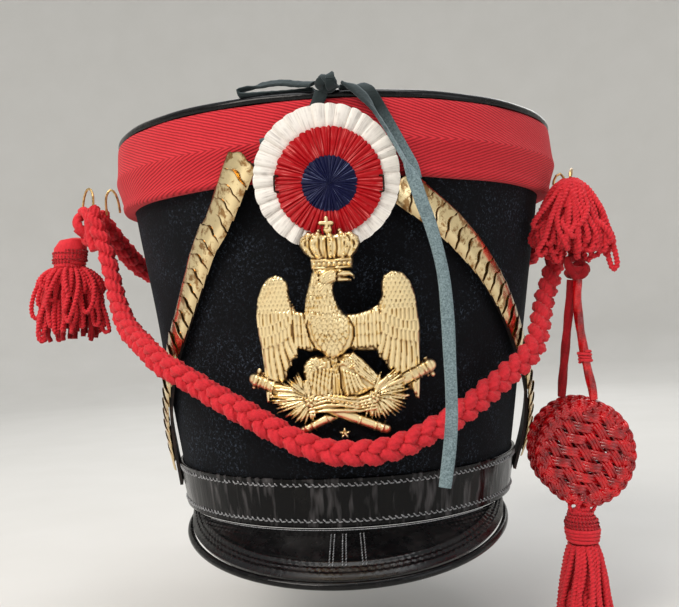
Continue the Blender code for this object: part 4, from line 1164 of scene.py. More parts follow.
class StampedSheet:
    """A sheet with its relief: smooth swelling forms, and on them marks that cover what lies under them.
    x runs across, z up, in mm."""

    def __init__(self, low, high, step):
        self.step = step
        self.x, self.z = np.meshgrid(np.arange(low[0], high[0], step), np.arange(low[1], high[1], step))
        self.form, self.mark = np.zeros_like(self.x), np.zeros_like(self.x)
        self.cover = np.full_like(self.x, -9.0)

    def near(self, points, margin):
        """The part of the sheet that a mark can reach."""
        (x0, z0), (x1, z1) = np.min(points, 0) - margin, np.max(points, 0) + margin
        rows, columns = self.z[:, 0], self.x[0]
        return np.ix_((rows > z0) & (rows < z1), (columns > x0) & (columns < x1))

    def along(self, here, points):
        """Distance from a line, and the share of the line that the nearest point has run."""
        x, z = self.x[here], self.z[here]
        off, share, gone = np.full(x.shape, 99.0), np.zeros(x.shape), 0.0
        total = sum(math.dist(a, b) for a, b in zip(points, points[1:]))
        for (ax, az), (bx, bz) in zip(points, points[1:]):
            run = math.dist((ax, az), (bx, bz))
            t = np.clip(((x - ax) * (bx - ax) + (z - az) * (bz - az)) / run ** 2, 0, 1)
            away = np.hypot(x - ax - (bx - ax) * t, z - az - (bz - az) * t)
            closer = away < off
            off, share = np.where(closer, away, off), np.where(closer, (gone + run * t) / total, share)
            gone += run
        return off, share

    def put(self, here, inside, form=None, mark=0.0, new=True):
        """Lays a form or a mark on the sheet; `new` lets it reach past what is covered."""
        hit = (inside > 0) & (new | (self.cover[here] > 0))
        if form is not None:
            self.form[here] = np.where(hit, form, self.form[here])
        self.mark[here] = np.where(hit, mark, self.mark[here])
        if new:
            self.cover[here] = np.maximum(self.cover[here], inside)

    def outline(self, points, base, height, rounding):
        """A raised part inside a drawn outline, rounded over at its edge."""
        here = self.near(points, 3.0)
        x, z = self.x[here], self.z[here]
        off, _ = self.along(here, points + points[:1])
        inside = np.zeros(x.shape, bool)
        for (ax, az), (bx, bz) in zip(points, points[1:] + points[:1]):
            if az != bz:
                inside ^= ((z > az) != (z > bz)) & (x < ax + (z - az) * (bx - ax) / (bz - az))
        deep = np.where(inside, off, -off)
        self.put(here, deep, base + height * np.sqrt(1 - (1 - np.clip(deep / rounding, 0, 1)) ** 2))

    def mass(self, points, widths, base, height, power=0.5):
        """A form that swells along a line: the tail, the head, a cannon barrel."""
        here = self.near(points, max(widths))
        off, share = self.along(here, points)
        half = np.interp(share, np.linspace(0, 1, len(widths)), widths) / 2
        self.put(here, half - off, base + height * np.maximum(0, 1 - (off / half) ** 2) ** power)

    def feather(self, points, width, lift, bulge, tip, rib, root, form=None, new=False):
        """A feather, leaf or strand, raised towards its tip; the last numbers are its cut, named below."""
        here = self.near(points, width)
        off, share = self.along(here, points)
        half = width / 2 * (root + (1 - root) * np.minimum(1, share / 0.4))
        past = np.clip((share - tip) / (1 - tip), 0, 1)
        half = np.maximum(half * np.sqrt(1 - past ** 2), 0.01)
        rise = lift * (0.25 + 0.75 * share) + bulge * (1 - (off / half) ** 2)
        self.put(here, half - off, form, rise + rib * np.exp(-(off / 0.3) ** 2), new)

    def rank(self, count, hops, width, *cut, first=0):
        """Feathers side by side: each hop gives a point (x, z) and its step from one feather to the next."""
        for k in range(first, first + count):
            self.feather([(x + dx * k, z + dz * k) for x, z, dx, dz in hops], width, *cut)

    def fan(self, count, start, step, hops, width, *cut, **over):
        """Feathers round a point: each hop gives a centre (x, z), a reach across and up, a lag in turn."""
        for k in range(count):
            turn = radians(start + step * k)
            self.feather([(x + a * cos(turn + lag), z + b * sin(turn + lag))
                          for x, z, a, b, lag in hops], width, *cut, **over)

    def line(self, points, depth, width):
        """An engraved line."""
        here = self.near(points, width * 2)
        off, _ = self.along(here, points)
        self.mark[here] -= depth * np.exp(-(off / (width / 2)) ** 2)

    def dot(self, x, z, radius, height):
        """A round boss."""
        here = self.near([(x, z)], radius + 1)
        off = np.hypot(self.x[here] - x, self.z[here] - z)
        self.put(here, radius - off, mark=height * np.sqrt(np.maximum(0, 1 - (off / radius) ** 2)))

    def pearls(self, points, spacing, radius, height):
        """A string of small bosses."""
        for point in even_points([(x, z, 0) for x, z in points], spacing):
            self.dot(point.x, point.y, radius, height)

    def hollows(self, rise):
        """How far each place lies under its surroundings, 0 to 1, for the brown lacquer and the painted shade
        put there.
        """
        full = (self.cover > 0).astype(float)
        total, weight = rise * full, full.copy()
        for axis in (0, 1):
            total = sum(np.roll(total, k, axis) for k in range(-3, 4))
            weight = sum(np.roll(weight, k, axis) for k in range(-3, 4))
        return np.clip((total / np.maximum(weight, 1.0) - rise) * 1.5 - 0.05, 0, 0.9)

    def cut(self, name):
        """The mesh of what is covered, its edge drawn to the exact outline."""
        rows, columns = self.x.shape
        deselect()
        bpy.ops.mesh.primitive_grid_add(x_subdivisions=columns - 1, y_subdivisions=rows - 1, size=2.0)
        piece = named(name)
        slope_z, slope_x = np.gradient(self.cover, self.step)
        steep = np.maximum(slope_x ** 2 + slope_z ** 2, 0.25)
        outside = np.minimum(self.cover, 0.0)
        x, z = self.x - outside * slope_x / steep, self.z - outside * slope_z / steep
        rim = np.clip(self.cover / 0.7, 0, 1)
        rise = (self.form + self.mark) * (0.35 + 0.65 * np.sqrt(1 - (1 - rim) ** 2))
        mesh = piece.data
        mesh.vertices.foreach_set("co", np.stack((x.ravel(), z.ravel(), rise.ravel()), 1).ravel())
        paint_shade_and_lacquer(piece, self.hollows(rise))
        mesh.vertices.foreach_set("select", (self.cover < -0.6 * self.step).ravel())
        mesh.edges.foreach_set("select", np.zeros(len(mesh.edges), bool))
        mesh.polygons.foreach_set("select", np.zeros(len(mesh.polygons), bool))
        bpy.ops.object.mode_set(mode="EDIT")
        bpy.ops.mesh.select_mode(type="VERT")
        bpy.ops.mesh.delete(type="VERT")
        bpy.ops.object.mode_set(mode="OBJECT")
        return piece


def paint_shade_and_lacquer(piece, amounts):
    """Marks on the mesh how far each place is darkened: lacquer and painted shade in hollows, painted shadow
    and reflection on scales.
    """
    layer = piece.data.attributes.new("painted_shade_and_lacquer", "FLOAT", "POINT")
    layer.data.foreach_set("value", np.ascontiguousarray(amounts, dtype=np.float32).ravel())


# Cut of each kind of feather and strand: lift, bulge, share where the tip rounds, rib, width at the root
FLIGHT, COVERT, SHOULDER = (0.5, 0.75, 0.9, 0.35, 0.9), (1, 0.6, 0.7, 0.25, 0.85), (0.6, 0.5, 0.35, 0, 0.9)
JOINING, TAIL, LEG = (0.9, 0.6, 0.72, 0.2, 0.85), (0.6, 0.7, 0.8, 0.3, 0.7), (0.6, 0.8, 0.85, 0.25, 0.8)
OUTER_LEG, SWEPT, CURL = (0.6, 0.8, 0.8, 0.25, 0.8), (0.7, 0.7, 0.8, 0.25, 0.7), (0.7, 0.7, 0.7, 0.2, 0.6)
SMALL_CURL, HACKLE, SCALED = (0.7, 0.7, 0.6, 0.2, 0.6), (0.9, 0.6, 0.6, 0.2, 0.7), (1.1, 0.6, 0.45, 0.2, 0.9)
CHEEK, BROW, PALMETTE = (0.7, 0.6, 0.6, 0.15, 0.7), (0.8, 0.6, 0.6, 0.2, 0.8), (0.3, 0.6, 0.6, 0.4, 0.7)
ARCH, MOULDING, COLLAR = (0.9, 0.5, 0.95, 0, 1), (0.9, 0.6, 0.98, 0, 1), (0.5, 0.7, 0.97, 0, 1)
LEAF, STRAND, PETAL = (0.9, 0.9, 0.6, 0, 0.6), (0.8, 1, 0.96, 0, 0.9), (0.9, 0.9, 0.5, 0, 0.7)
STAR_RAY = (0.6, 0.8, 0.4, 0.2, 0.9)

# Outlines of the eagle's parts, as points (x, z) on the flat plate
LEFT_WING = [
    (-12.5, 101), (-15.8, 101.8), (-18.2, 104.3), (-19.1, 109.3), (-19.3, 114.3), (-21.4, 117),
    (-24.5, 118.3), (-28.3, 117), (-31.4, 113.6), (-33.9, 108), (-35.1, 100.5), (-34.9, 93), (-33.8, 86),
    (-33.2, 76), (-33.2, 66), (-33, 60.4), (-31.4, 59.9), (-30.2, 62.6), (-28.8, 62.8), (-27.6, 66.2),
    (-25.8, 66.6), (-24.8, 69.6), (-22.8, 70.2), (-21.6, 75.5), (-19.8, 76.8), (-19.5, 79.9), (-17, 80.5),
    (-16.4, 84.3), (-10.8, 83), (-6, 84), (-6, 99)]
RIGHT_WING = [
    (4, 99.4), (10.5, 99.7), (15.5, 101), (19.9, 103.3), (21.8, 106.8), (21.8, 112.4), (23, 116),
    (26.8, 118), (31.8, 116.8), (34.9, 113), (37, 106.8), (38, 99.3), (38.9, 91.8), (38.6, 85.5),
    (38.3, 76), (38, 64), (37.4, 58.6), (35.6, 59.4), (34.4, 63), (32.8, 63.4), (31.6, 66.6), (29.6, 67),
    (28.4, 70), (26.4, 70.2), (24.9, 72.6), (23, 74.3), (21.8, 77.2), (19.4, 79.3), (18.6, 82.4),
    (13, 82.6), (8, 83), (2, 86)]
BREAST = [
    (4.9, 120.2), (-2, 121.4), (-8, 119.6), (-9.2, 116), (-11, 110.5), (-12.3, 105.5), (-12.8, 101),
    (-12.4, 95), (-11.2, 89), (-8.6, 84.2), (-4.6, 81.2), (-0.8, 79.8), (3.4, 81.2), (7.2, 84.6), (9, 89),
    (9.2, 93.6), (7.2, 97.6), (4.9, 99.9), (3, 102.4), (1.3, 106.7), (0.6, 110.5), (1.4, 113.6), (4.6, 116)]
LEFT_THIGH = [
    (-4, 80.6), (-8.4, 81.8), (-12, 80.6), (-14.6, 77.6), (-15.2, 73.4), (-14.4, 69), (-14.6, 64),
    (-12, 61.5), (-5, 61.5), (-2.6, 66), (-1.6, 74), (-2, 79)]
RIGHT_THIGH = [
    (0.8, 79.6), (4, 82), (8.2, 82.6), (12.4, 79), (16.8, 74), (21.4, 69.4), (20.6, 66.4), (14, 63.5),
    (9, 61.5), (3, 61.5), (1.8, 66), (1.4, 73)]
# Levels of the neck's rows of hackles, and how far they reach to each side there
NECK_LEVELS, NECK_SIDES = (98, 102, 106, 110, 116), ((-12.4, -12.4, -11.8, -10.8, -9), (6.4, 3, 1.4, 0.6, 1))
# How far each row of the breast's scales reaches, and how many there are in it
BREAST_ROWS = ((8.6, 7), (8.6, 7), (8.4, 7), (8.2, 7), (7.6, 6), (6.4, 5), (4.8, 4), (2.8, 3))
# The crown over the head: its cap, its jewelled band, and foot, bow and top of each arch
CROWN_CAP = [
    (-7.4, 123.4), (-11.2, 126.4), (-13.4, 130.2), (-12.6, 133.4), (-9.6, 135.2), (-5.2, 135.4), (-2, 134.2),
    (0.2, 136), (2.4, 134.2), (5.6, 135.4), (9.8, 135), (12.8, 133.2), (13.6, 130), (11.6, 126.2), (9, 123.4)]
CROWN_BAND = [(-8.6, 119.4), (-8.9, 124.2), (0.2, 123.7), (10.2, 124.2), (9.8, 119.4), (0.4, 118.8)]
CROWN_ARCHES = (((-7.2, 123.4), (-12, 130), (-9.2, 134.2)), ((-4, 123.2), (-7.4, 130), (-4.6, 134.6)),
                ((0.3, 123), (0.3, 129.4), (0.2, 135)), ((5, 123.2), (8, 130), (5, 134.6)),
                ((8.4, 123.4), (12.4, 129.8), (9.4, 134)))
# Where the flight feathers end, from the outer edge of each wing inwards
LEFT_TIPS = (
    (-32.4, 60), (-30, 62.6), (-27.4, 66.2), (-24.6, 69.8), (-21.8, 74.6), (-19.2, 79.4), (-16.8, 82))
RIGHT_TIPS = (
    (37.6, 59), (35.2, 61.6), (32.6, 65.6), (29.8, 68.8), (27, 71.2), (24.4, 73.6), (21.8, 77.8),
    (19.4, 81.2))
LEFT_PEARLS = ((-17.4, 103.8), (-19.9, 109), (-20.4, 114), (-22.4, 116.2), (-25, 117), (-28, 115.8))
RIGHT_PEARLS = ((21, 103.6), (22.9, 107), (22.9, 112.2), (24, 115.2), (27, 116.8), (31.2, 115.6))
# Laurel leaves of each bunch: bow and tip
LEFT_KNOT, RIGHT_KNOT = (-12, 60.8), (16.4, 61.6)
LEFT_LAUREL = (
    ((-15.6, 66.4), (-18.9, 73.2)), ((-18.2, 66.6), (-23.2, 71)), ((-13.4, 65.8), (-14.2, 70)),
    ((-20.4, 65.6), (-29.8, 66.8)), ((-20, 63.4), (-30.4, 64)), ((-20.4, 61.6), (-30.8, 60.8)),
    ((-19.8, 59.6), (-28.4, 57)), ((-17.6, 58.2), (-25.4, 54)), ((-16, 57.6), (-21.6, 51.8)),
    ((-14.2, 56.6), (-17.2, 50.4)), ((-12, 56), (-11.8, 51.8)))
RIGHT_LAUREL = (
    ((20.4, 67.4), (27.6, 72.6)), ((18.8, 66.8), (22.2, 71.2)), ((22.8, 66), (30.6, 69.8)),
    ((23.4, 64), (32, 65.8)), ((24, 62.2), (32.6, 62.2)), ((23.6, 60.4), (31, 57.4)),
    ((22, 58.4), (28, 53.4)), ((19.8, 57.2), (23.6, 51.8)), ((17.4, 56.8), (18.4, 51.4)),
    ((14.8, 57), (14, 52.2)))
# The cannon: tail, muzzle, and widths from one to the other; and the rings on each barrel
CANNON = (((-16.6, 46.9), (43, 74.4), (4, 5.6, 6, 6.2)), ((21.6, 45.8), (-38, 71.4), (5, 5.8, 6, 6)))
BARREL_RINGS = ((0.03, 1.3, 2.8), (0.08, 0.9, 2.8), (0.2, 0.9, 2.9), (0.86, 1, 3.1), (0.91, 1, 3.3),
                (0.955, 1.4, 3.9), (0.99, 2.2, 4.6))


def wing(sheet, side, drawn, tips, middle, span):
    """Long flight feathers, a tier of coverts over them, and small scales up to the shoulder."""
    sheet.outline(drawn, 0.6, 1.9, 5.0)
    for k, (x, z) in enumerate(tips):
        head = middle + side * span * (1 - 2 * (k + 0.3) / len(tips))
        bow, half_way = (head + x) / 2, (93 + z) / 2
        sheet.feather([(head, 93), (bow + side * 0.5, half_way), (x, z)], 3.0, *FLIGHT)
        sheet.line([(head - side * 1.5, 92), (bow - side, (92 + z) / 2), (x - side * 1.3, z + 2)], 0.5, 0.7)
    for low, reach, width in ((86.5, 8, 2.1), (91.5, 7, 2.1), (96, 6, 2)):
        for k in range(9):
            share = (k + (0.5 if low == 91.5 else 0)) / 8.5 * 2 - 1
            x = middle + side * 0.2 + span * share
            z = low - 2.6 * side * share + 1.6 * share * share
            sheet.feather([(x, z + reach), (x, z + reach / 2), (x, z)], width, *COVERT)
    for row in range(9):
        z = 101 + 1.95 * row
        for k in range(8):
            x = middle + side * 0.3 + span * ((k + 0.5 * (row % 2) + 0.25) / 4 - 1)
            sheet.feather([(x, z + 2.2), (x, z)], 2.0, *SHOULDER)


def scapulars(sheet, left, right, low):
    """Feathers that join the wing to the body."""
    for level, drop in ((low, 9), (low + 5.4, 8), (low + 10.4, 6)):
        for x in np.arange(left, right + 0.1, 1.75):
            tip = (x + 0.3, level + 0.6 * sin(x * 2))
            sheet.feather([(x, level + drop), (x + 0.2, level + drop / 2), tip], 1.9, *JOINING)


def eagle_body(sheet):
    """Tail, thighs, neck with its hackles, and breast with rows of scale feathers."""
    sheet.mass([(-1.5, 80), (-1, 62)], (8, 10), 0.8, 1.6, 0.6)
    sheet.rank(6, ((-2.65, 81, 0.5, 0), (-4, 71, 1.4, 0), (-5, 62, 1.75, 0)), 1.9, *TAIL)
    # left thigh, curled like a shell, and the leg feathers under it
    sheet.outline(LEFT_THIGH, 1.4, 2.2, 3.6)
    sheet.rank(7, ((-12.4, 75, 1.75, 0), (-13.6, 68, 1.75, 0), (-14, 61.5, 1.75, 0.2)), 1.8, *LEG)
    sheet.fan(9, 200, -26, ((-8.6, 76, 0.9, 0.9, 0), (-8.8, 75.8, 3.6, 3.4, 0.4), (-9, 75.2, 5.9, 5.6, 0.8)),
              1.9, *CURL)
    # right thigh, sweeping down to the right
    sheet.outline(RIGHT_THIGH, 1.4, 2.2, 3.6)
    sheet.rank(5, ((3.4, 74, 1.5, -0.6), (4, 69, 1.8, -0.4), (4.8, 62.5, 2.2, 0.7)), 1.8, *OUTER_LEG)
    sheet.rank(7, ((7.4, 81.4, 0.42, 0.5), (12, 75.8, 0.8, 0.85), (18.6, 68.8, 0.4, 0.6)), 1.5, *SWEPT,
               first=-3)
    sheet.fan(7, -20, 27, ((4.8, 76.6, 0, 0, 0), (5, 76.4, 2.4, 2.6, 0), (5.2, 75.8, 4, 4.6, 0.5)),
              1.8, *SMALL_CURL)
    sheet.outline(BREAST, 1.6, 3.6, 6.5)
    for row in range(9):
        z = 116 - 17.5 * row / 8
        low, high = (np.interp(z, NECK_LEVELS, side) for side in NECK_SIDES)
        count = 7 + row // 2
        for k in range(count):
            x = low + (high - low) * (k + 0.25 + 0.5 * (row % 2)) / count
            lean = 0.5 * (x + 4) / 6
            sheet.feather([(x - lean * 0.3, z + 2.6), (x, z), (x + lean, z - 3)], 1.5, *HACKLE)
    for row, (reach, count) in enumerate(BREAST_ROWS):
        for k in range(count):
            share = -1 + 2 * (k + 0.5) / count
            x = -1.7 + 0.1 * row + reach * share
            top = 97 - 2.3 * row + 1.8 * share * share
            sheet.feather([(x, top + 2), (x, top), (x, top - 1.2)], 2.5, *SCALED)


def eagle_head(sheet):
    """Head turned to the right, its beak open, under the crown."""
    sheet.mass([(-2.4, 116), (2.6, 116.6), (5, 116.8)], (6.8, 6.2, 4.4), 4.0, 2.2, 0.6)
    sheet.rank(6, ((0.6, 118.6, 0.4, -0.9), (-2.2, 117.4, 0, -1.1), (-5.6, 115.2, 0, -1.4)), 1.3, *CHEEK)
    sheet.mass([(4.4, 117), (8, 117.2), (9.7, 116.2), (10, 115)], (3.8, 3, 2, 0.9), 3.4, 1.8, 0.6)
    sheet.mass([(3.6, 114.9), (6.4, 114.7), (8.4, 114.4)], (3, 2.4, 1.4), 2.6, 1.4, 0.6)
    sheet.feather([(1.4, 118), (3.4, 118.5), (5.4, 118)], 1.2, *BROW)
    sheet.dot(3.4, 116.7, 0.8, 1.1)
    sheet.line([(4.6, 115.6), (9.4, 115.2)], 0.7, 0.8)


def imperial_crown(sheet):
    """Jewelled band, five pearled arches, orb and cross."""
    sheet.outline(CROWN_CAP, 1.2, 3.0, 5.0)
    for x in (-9.8, -5.6, -2, 2.5, 6.4, 10.4):
        sheet.feather([(x * 0.78, 124), (x * 0.97, 128), (x * 0.92, 132.6)], 1.7, *PALMETTE)
        sheet.line([(x * 0.78 + 0.9, 124.4), (x * 0.97 + 0.9, 128.4), (x * 0.92 + 0.8, 132)], 0.8, 0.8)
    for arch in CROWN_ARCHES:
        path = [(p.x, p.y) for p in even_points([(x, z, 0) for x, z in arch], 1.1)]
        sheet.feather(path, 2.3, *ARCH)
        for point in path[1:-1]:
            sheet.dot(*point, 0.55, 2.0)
    sheet.outline(CROWN_BAND, 2.4, 1.6, 2.0)
    for height in (119.7, 123.5):
        sheet.feather([(-8.4, height), (0.2, height - 0.4), (9.4, height)], 1.4, *MOULDING)
    for k in range(8):
        sheet.dot(-7 + 2.2 * k, 121.5, 0.8, 1.2)
    for x, z in ((-8.8, 134.6), (-4.4, 135.4), (4.8, 135.4), (9.2, 134.4)):
        sheet.dot(x, z, 1.4, 1.6)
    sheet.mass([(-0.3, 136.2), (-0.3, 136.6)], (4.2, 4), 2.2, 1.8)
    sheet.mass([(-0.6, 137), (-0.8, 141)], (1.6, 2.2), 2.4, 1.0)
    sheet.mass([(-3.4, 139), (1.6, 138.8)], (2.2, 2.2), 2.4, 1.2)


def trophy(sheet):
    """Crossed cannon with ringed muzzles, laurel curling over them, and a small star."""
    for tail, muzzle, widths in CANNON:
        a, b = np.array(tail), np.array(muzzle)
        sheet.mass([tail, tuple(a + (b - a) * 0.5), muzzle], widths, 0.8, 2.8)
        across = np.array((-(b - a)[1], (b - a)[0])) / math.dist(tail, muzzle)
        for t, width, reach in BARREL_RINGS:
            spot = a + (b - a) * t
            ring = [tuple(spot + across * reach * side) for side in (-1, 0, 1)]
            sheet.feather(ring, width, *COLLAR, new=True)
    rng = random.Random(17)
    for knot, laurel in ((LEFT_KNOT, LEFT_LAUREL), (RIGHT_KNOT, RIGHT_LAUREL)):
        for bow, end in laurel:
            aside = np.array((bow[1] - end[1], end[0] - bow[0])) / math.dist(bow, end)
            for shift in (-1.0, 1.0, 0.0):
                tip = np.array(end) + aside * shift * 1.5 + (rng.uniform(-0.9, 0.9), rng.uniform(-0.9, 0.9))
                sheet.feather([knot, tuple(np.array(bow) + aside * shift), tuple(tip)], 1.7, *LEAF,
                              form=2.6 + 0.5 * (shift == 0), new=True)
    for low, rise, sag in ((55.4, 0.6, 0.2), (57, 1.6, 0.4), (61.8, 1, 1.2), (58.6, 2.2, 1), (60.2, 2, 1.6)):
        bend = [(-13, low), (-5, low + rise), (3, low + rise - sag), (10, low - sag * 0.6), (18, low + 1)]
        sheet.feather(bend, 1.8, *STRAND, form=3.2, new=True)
    for x, z in (LEFT_KNOT, RIGHT_KNOT):
        sheet.fan(7, 15, 51.4, ((x, z, 0, 0, 0), (x, z, 3, 3, 0)), 1.7, *PETAL, form=3.6, new=True)
        sheet.dot(x, z, 1.0, 2.4)
    sheet.fan(5, 18, 72, ((2.4, 44.9, 0, 0, 0), (2.4, 44.9, 2.9, 2.9, 0)), 1.7, *STAR_RAY, form=2.4, new=True)


# The plate's cone: its lower level, its height, and the radius at its foot and its top
PLATE_FOOT, PLATE_HEIGHT, FOOT_RADIUS, TOP_RADIUS = 43, 99, 103.9, 131.9


def bend_to_hat(x, z, depth):
    """From the flat plate to the cone round the hat: x across, z up, depth towards the eye."""
    radius = FOOT_RADIUS + (TOP_RADIUS - FOOT_RADIUS) * (z - PLATE_FOOT) / PLATE_HEIGHT + 0.7 + depth
    return x, -np.sqrt(np.maximum(radius ** 2 - x ** 2, 1.0)), z


def build_plate():
    """Stamped brass eagle over crossed cannon, under a crown."""
    sheet = StampedSheet((-45.0, 40.5), (50.0, 144.0), 0.40)
    wing(sheet, -1, LEFT_WING, LEFT_TIPS, -26.6, 7.6)
    wing(sheet, 1, RIGHT_WING, RIGHT_TIPS, 29.4, 8.2)
    scapulars(sheet, -17.4, -10.0, 84.5)
    scapulars(sheet, 5.6, 20.4, 84.0)
    sheet.pearls(RIGHT_PEARLS, 1.35, 0.5, 1.5)
    sheet.pearls(LEFT_PEARLS, 1.35, 0.45, 1.3)
    eagle_body(sheet)
    trophy(sheet)
    imperial_crown(sheet)
    eagle_head(sheet)
    plate = thicken(sheet.cut("stamped_eagle"), 0.5)
    sculpt(plate, bend_to_hat)
    wear(plate, "brass", "gilt_brass", "eagle_plate", angle=75)


# ---------------------------------------------------------------- chin scales

# Routes of the straps on the felt: angle, height, distance outside it
STRAP_LEFT = (
    (-16.9, 171, 7.6), (-19.6, 162, 7.6), (-23.7, 151, 4.2), (-27.4, 142.5, 2.2), (-31.2, 134.5, 1.5),
    (-36.7, 118.5, 1.3), (-43.2, 101.5, 1.3), (-51.6, 84.5, 1.3), (-62, 64, 1.4), (-71.5, 45, 1.7),
    (-76.5, 28, 2.2), (-80, 11, 2.5))
STRAP_RIGHT = (
    (18.5, 152, 4), (23.5, 145.5, 2.4), (30, 136.5, 1.5), (38.5, 122.5, 1.3), (47, 107, 1.3), (56, 90, 1.6),
    (66, 71, 3), (75, 51, 4.8), (81, 31, 4.8), (84.5, 11, 2.3))


# Width of a scale at the strap's lower and upper end, and its dome's height
LOW_WIDTH, HIGH_WIDTH, DOME = 17.2, 13.6, 2.5


def chin_scale():
    """One brass scale in units of half its width and its pitch: a domed plate with a lobed tip at +Y."""
    deselect()
    bpy.ops.mesh.primitive_grid_add(x_subdivisions=20, y_subdivisions=18, size=2)
    scale = named("chin_scale")
    along = []

    def shape(x, y, z):
        share = (y + 1) / 2
        tip = 1.36 - 0.50 * np.abs(x) ** 1.6 - 0.10 * np.exp(-((np.abs(x) - 0.5) / 0.16) ** 2)
        reach = -0.42 + (tip + 0.42) * share
        arch = np.sqrt(np.maximum(0, 1 - 0.96 * x * x))
        lift = arch * (1 + 0.09 * reach) + 0.05 * np.exp(-((share - 0.93) / 0.05) ** 2) * arch
        along.extend((share, x))
        return x, reach, lift

    sculpt(scale, shape)
    # painted shade: a dark line at the tip edge stands for the shadow on the next scale; the flanks carry
    # painted dark reflections
    painted_dark_flank = np.clip((np.abs(along[1]) - 0.55) / 0.4, 0, 1) * 0.45
    paint_shade_and_lacquer(scale, np.maximum(np.clip((along[0] - 0.955) / 0.03, 0, 1) * 0.85, painted_dark_flank))
    return thicken(scale, 0.09)


def build_chin_scales(pitch):
    """The two runs of overlapping scales, every scale lying over the next one up."""
    model = chin_scale()
    for side, route, seed, bare in (("left", STRAP_LEFT, 1, 1), ("right", STRAP_RIGHT, 2, 0)):
        middle = even_points([on_body(a, z, out + 1.8) for a, z, out in route], pitch / MM / 8)
        count = len(middle) // 8
        rng = random.Random(seed)
        scales = []
        for i in range(bare, count):
            k = min(i * 8, len(middle) - 2)
            point, run = middle[k], (middle[k] - middle[k + 1])
            half = (LOW_WIDTH + (HIGH_WIDTH - LOW_WIDTH) * i / count) / 2 * rng.uniform(0.985, 1.015)
            turn = stand(point, run, outward(point))
            nudge = Matrix.Rotation(radians(rng.uniform(-2.5, 2.5)), 4, "Z")
            tilt = Matrix.Rotation(radians(2 + rng.uniform(-1, 1)), 4, "X")
            scales.append(copy_of(model, turn @ nudge @ tilt @ Matrix.Diagonal((half, pitch / MM, DOME, 1))))
        wear(joined("chin_scales_" + side + "_brass", scales), "scale", "gilt_brass",
             "chin_scales_" + side, angle=45, check=False)
    bpy.data.objects.remove(model)


# ---------------------------------------------------------------- tassels, mop and knots

# Forms of the tassels and the mop, ring by ring: height, centre x and y, half width in x and in y
LEFT_HEAD = (
    (152.5, -154.2, -3, 3.4, 3.4), (151.2, -156, -3, 8.2, 7.8), (146.6, -157.6, -2.8, 10.2, 9.2),
    (139.6, -158.4, -2.6, 10.4, 9.2), (135, -158.8, -2.4, 9, 8.2))
LEFT_FRINGE = (
    (134.7, -158.8, -2.4, 8.6, 8), (130, -158.6, -2.2, 13.6, 9.8), (120, -158.6, -2, 19.4, 11.4),
    (106, -158.8, -2, 23.6, 12.6), (95, -158.8, -2, 24.6, 13), (91.4, -158.8, -2, 22, 11))
RIGHT_MOP = (
    (165.3, 124.4, -52, 3, 2.6), (163.6, 124.2, -52, 7.6, 6.4), (157.6, 124, -52, 12.8, 10),
    (148, 123.4, -52, 18.4, 13), (137, 122.9, -52, 21.6, 14), (128, 122.9, -52, 21.2, 13.6),
    (123.4, 123.4, -52, 17, 11))
RAQUETTE_HEAD = (
    (-5.1, 121, -50, 3, 3), (-8, 121.2, -50, 6.6, 6.4), (-13, 121.6, -50, 9, 8.6), (-19, 122, -50, 9.4, 9),
    (-24, 122, -50, 8, 7.8))
RAQUETTE_FRINGE = (
    (-24.3, 122, -50, 7.8, 7.6), (-30, 122, -50, 10.2, 9.6), (-44, 122, -50, 13, 12),
    (-60, 122, -50, 15.4, 13.6), (-69, 122, -50, 15.8, 13.8), (-72, 122, -50, 14, 12))


def at_height(stack, z):
    """Centre and half widths of an oval form at a height."""
    rows = np.array(stack)[::-1]
    return [float(np.interp(z, rows[:, 0], rows[:, k])) for k in range(1, 5)]


def core(name, stack, shrink):
    """Closed oval form under the cords, `shrink` mm inside their own form."""
    rings = [(z, max(a - shrink, 0.6), max(b - shrink, 0.6), x, y) for z, x, y, a, b in stack]
    return drawn_up(name, rings, 32)


def whipping(name, stack, wire, low, high, loose=0):
    """Cord wound round an oval form, turn below turn."""
    turns = (high - low) / (2 * wire * 0.93)
    steps = int(turns * 28)
    points = []
    for i in range(steps + 1):
        t = i / steps
        z = high + (low - high) * t
        x, y, a, b = at_height(stack, z)
        turn = 2 * pi * turns * t
        slack = loose * sin(turn * 0.37)
        points.append(Vector((x + (a - wire * 0.9 + slack) * sin(turn),
                              y - (b - wire * 0.9 + slack) * cos(turn),
                              z + 0.5 * loose * sin(turn * 1.3))))
    return swept(name, [points], wire, depth=0.16, count=8, pitch=wire * 4)


def hanging(stack, count, share, low, rng, curl=0, wave=0.6, start=None, spread=0.12):
    """Routes of cords hanging over an oval form, each to its own depth; with a curl they turn back inside."""
    routes = []
    top = start or stack[0][0] - 0.3
    for k in range(count):
        turn = 2 * pi * (k + rng.uniform(-0.3, 0.3)) / count
        reach = share * rng.uniform(1 - spread, 1.03)
        depth = low + rng.uniform(0, 0.24) * (top - low)
        sway, beat, phase = rng.uniform(-0.3, 0.3), rng.uniform(6, 12), rng.uniform(0, 6.28)
        points = []
        for t in np.linspace(0, 1, 13):
            z = top + (depth - top) * t
            x, y, a, b = at_height(stack, z)
            bend = turn + sway * t + wave / max(a, 4) * sin(z / beat + phase)
            points.append((x + (a - 1.2) * reach * sin(bend), y - (b - 1.2) * reach * cos(bend), z))
        if curl:
            x, y, a, b = at_height(stack, depth)
            for rise, inward in ((-1, 0.10), (0.3, 0.20), (4, 0.26), (10, 0.30), (18, 0.34)):
                near = reach - inward * curl
                points.append((x + (a - 1.2) * near * sin(bend), y - (b - 1.2) * near * cos(bend),
                               depth + rise))
        routes.append(even_points(points, 0.6))
    return routes


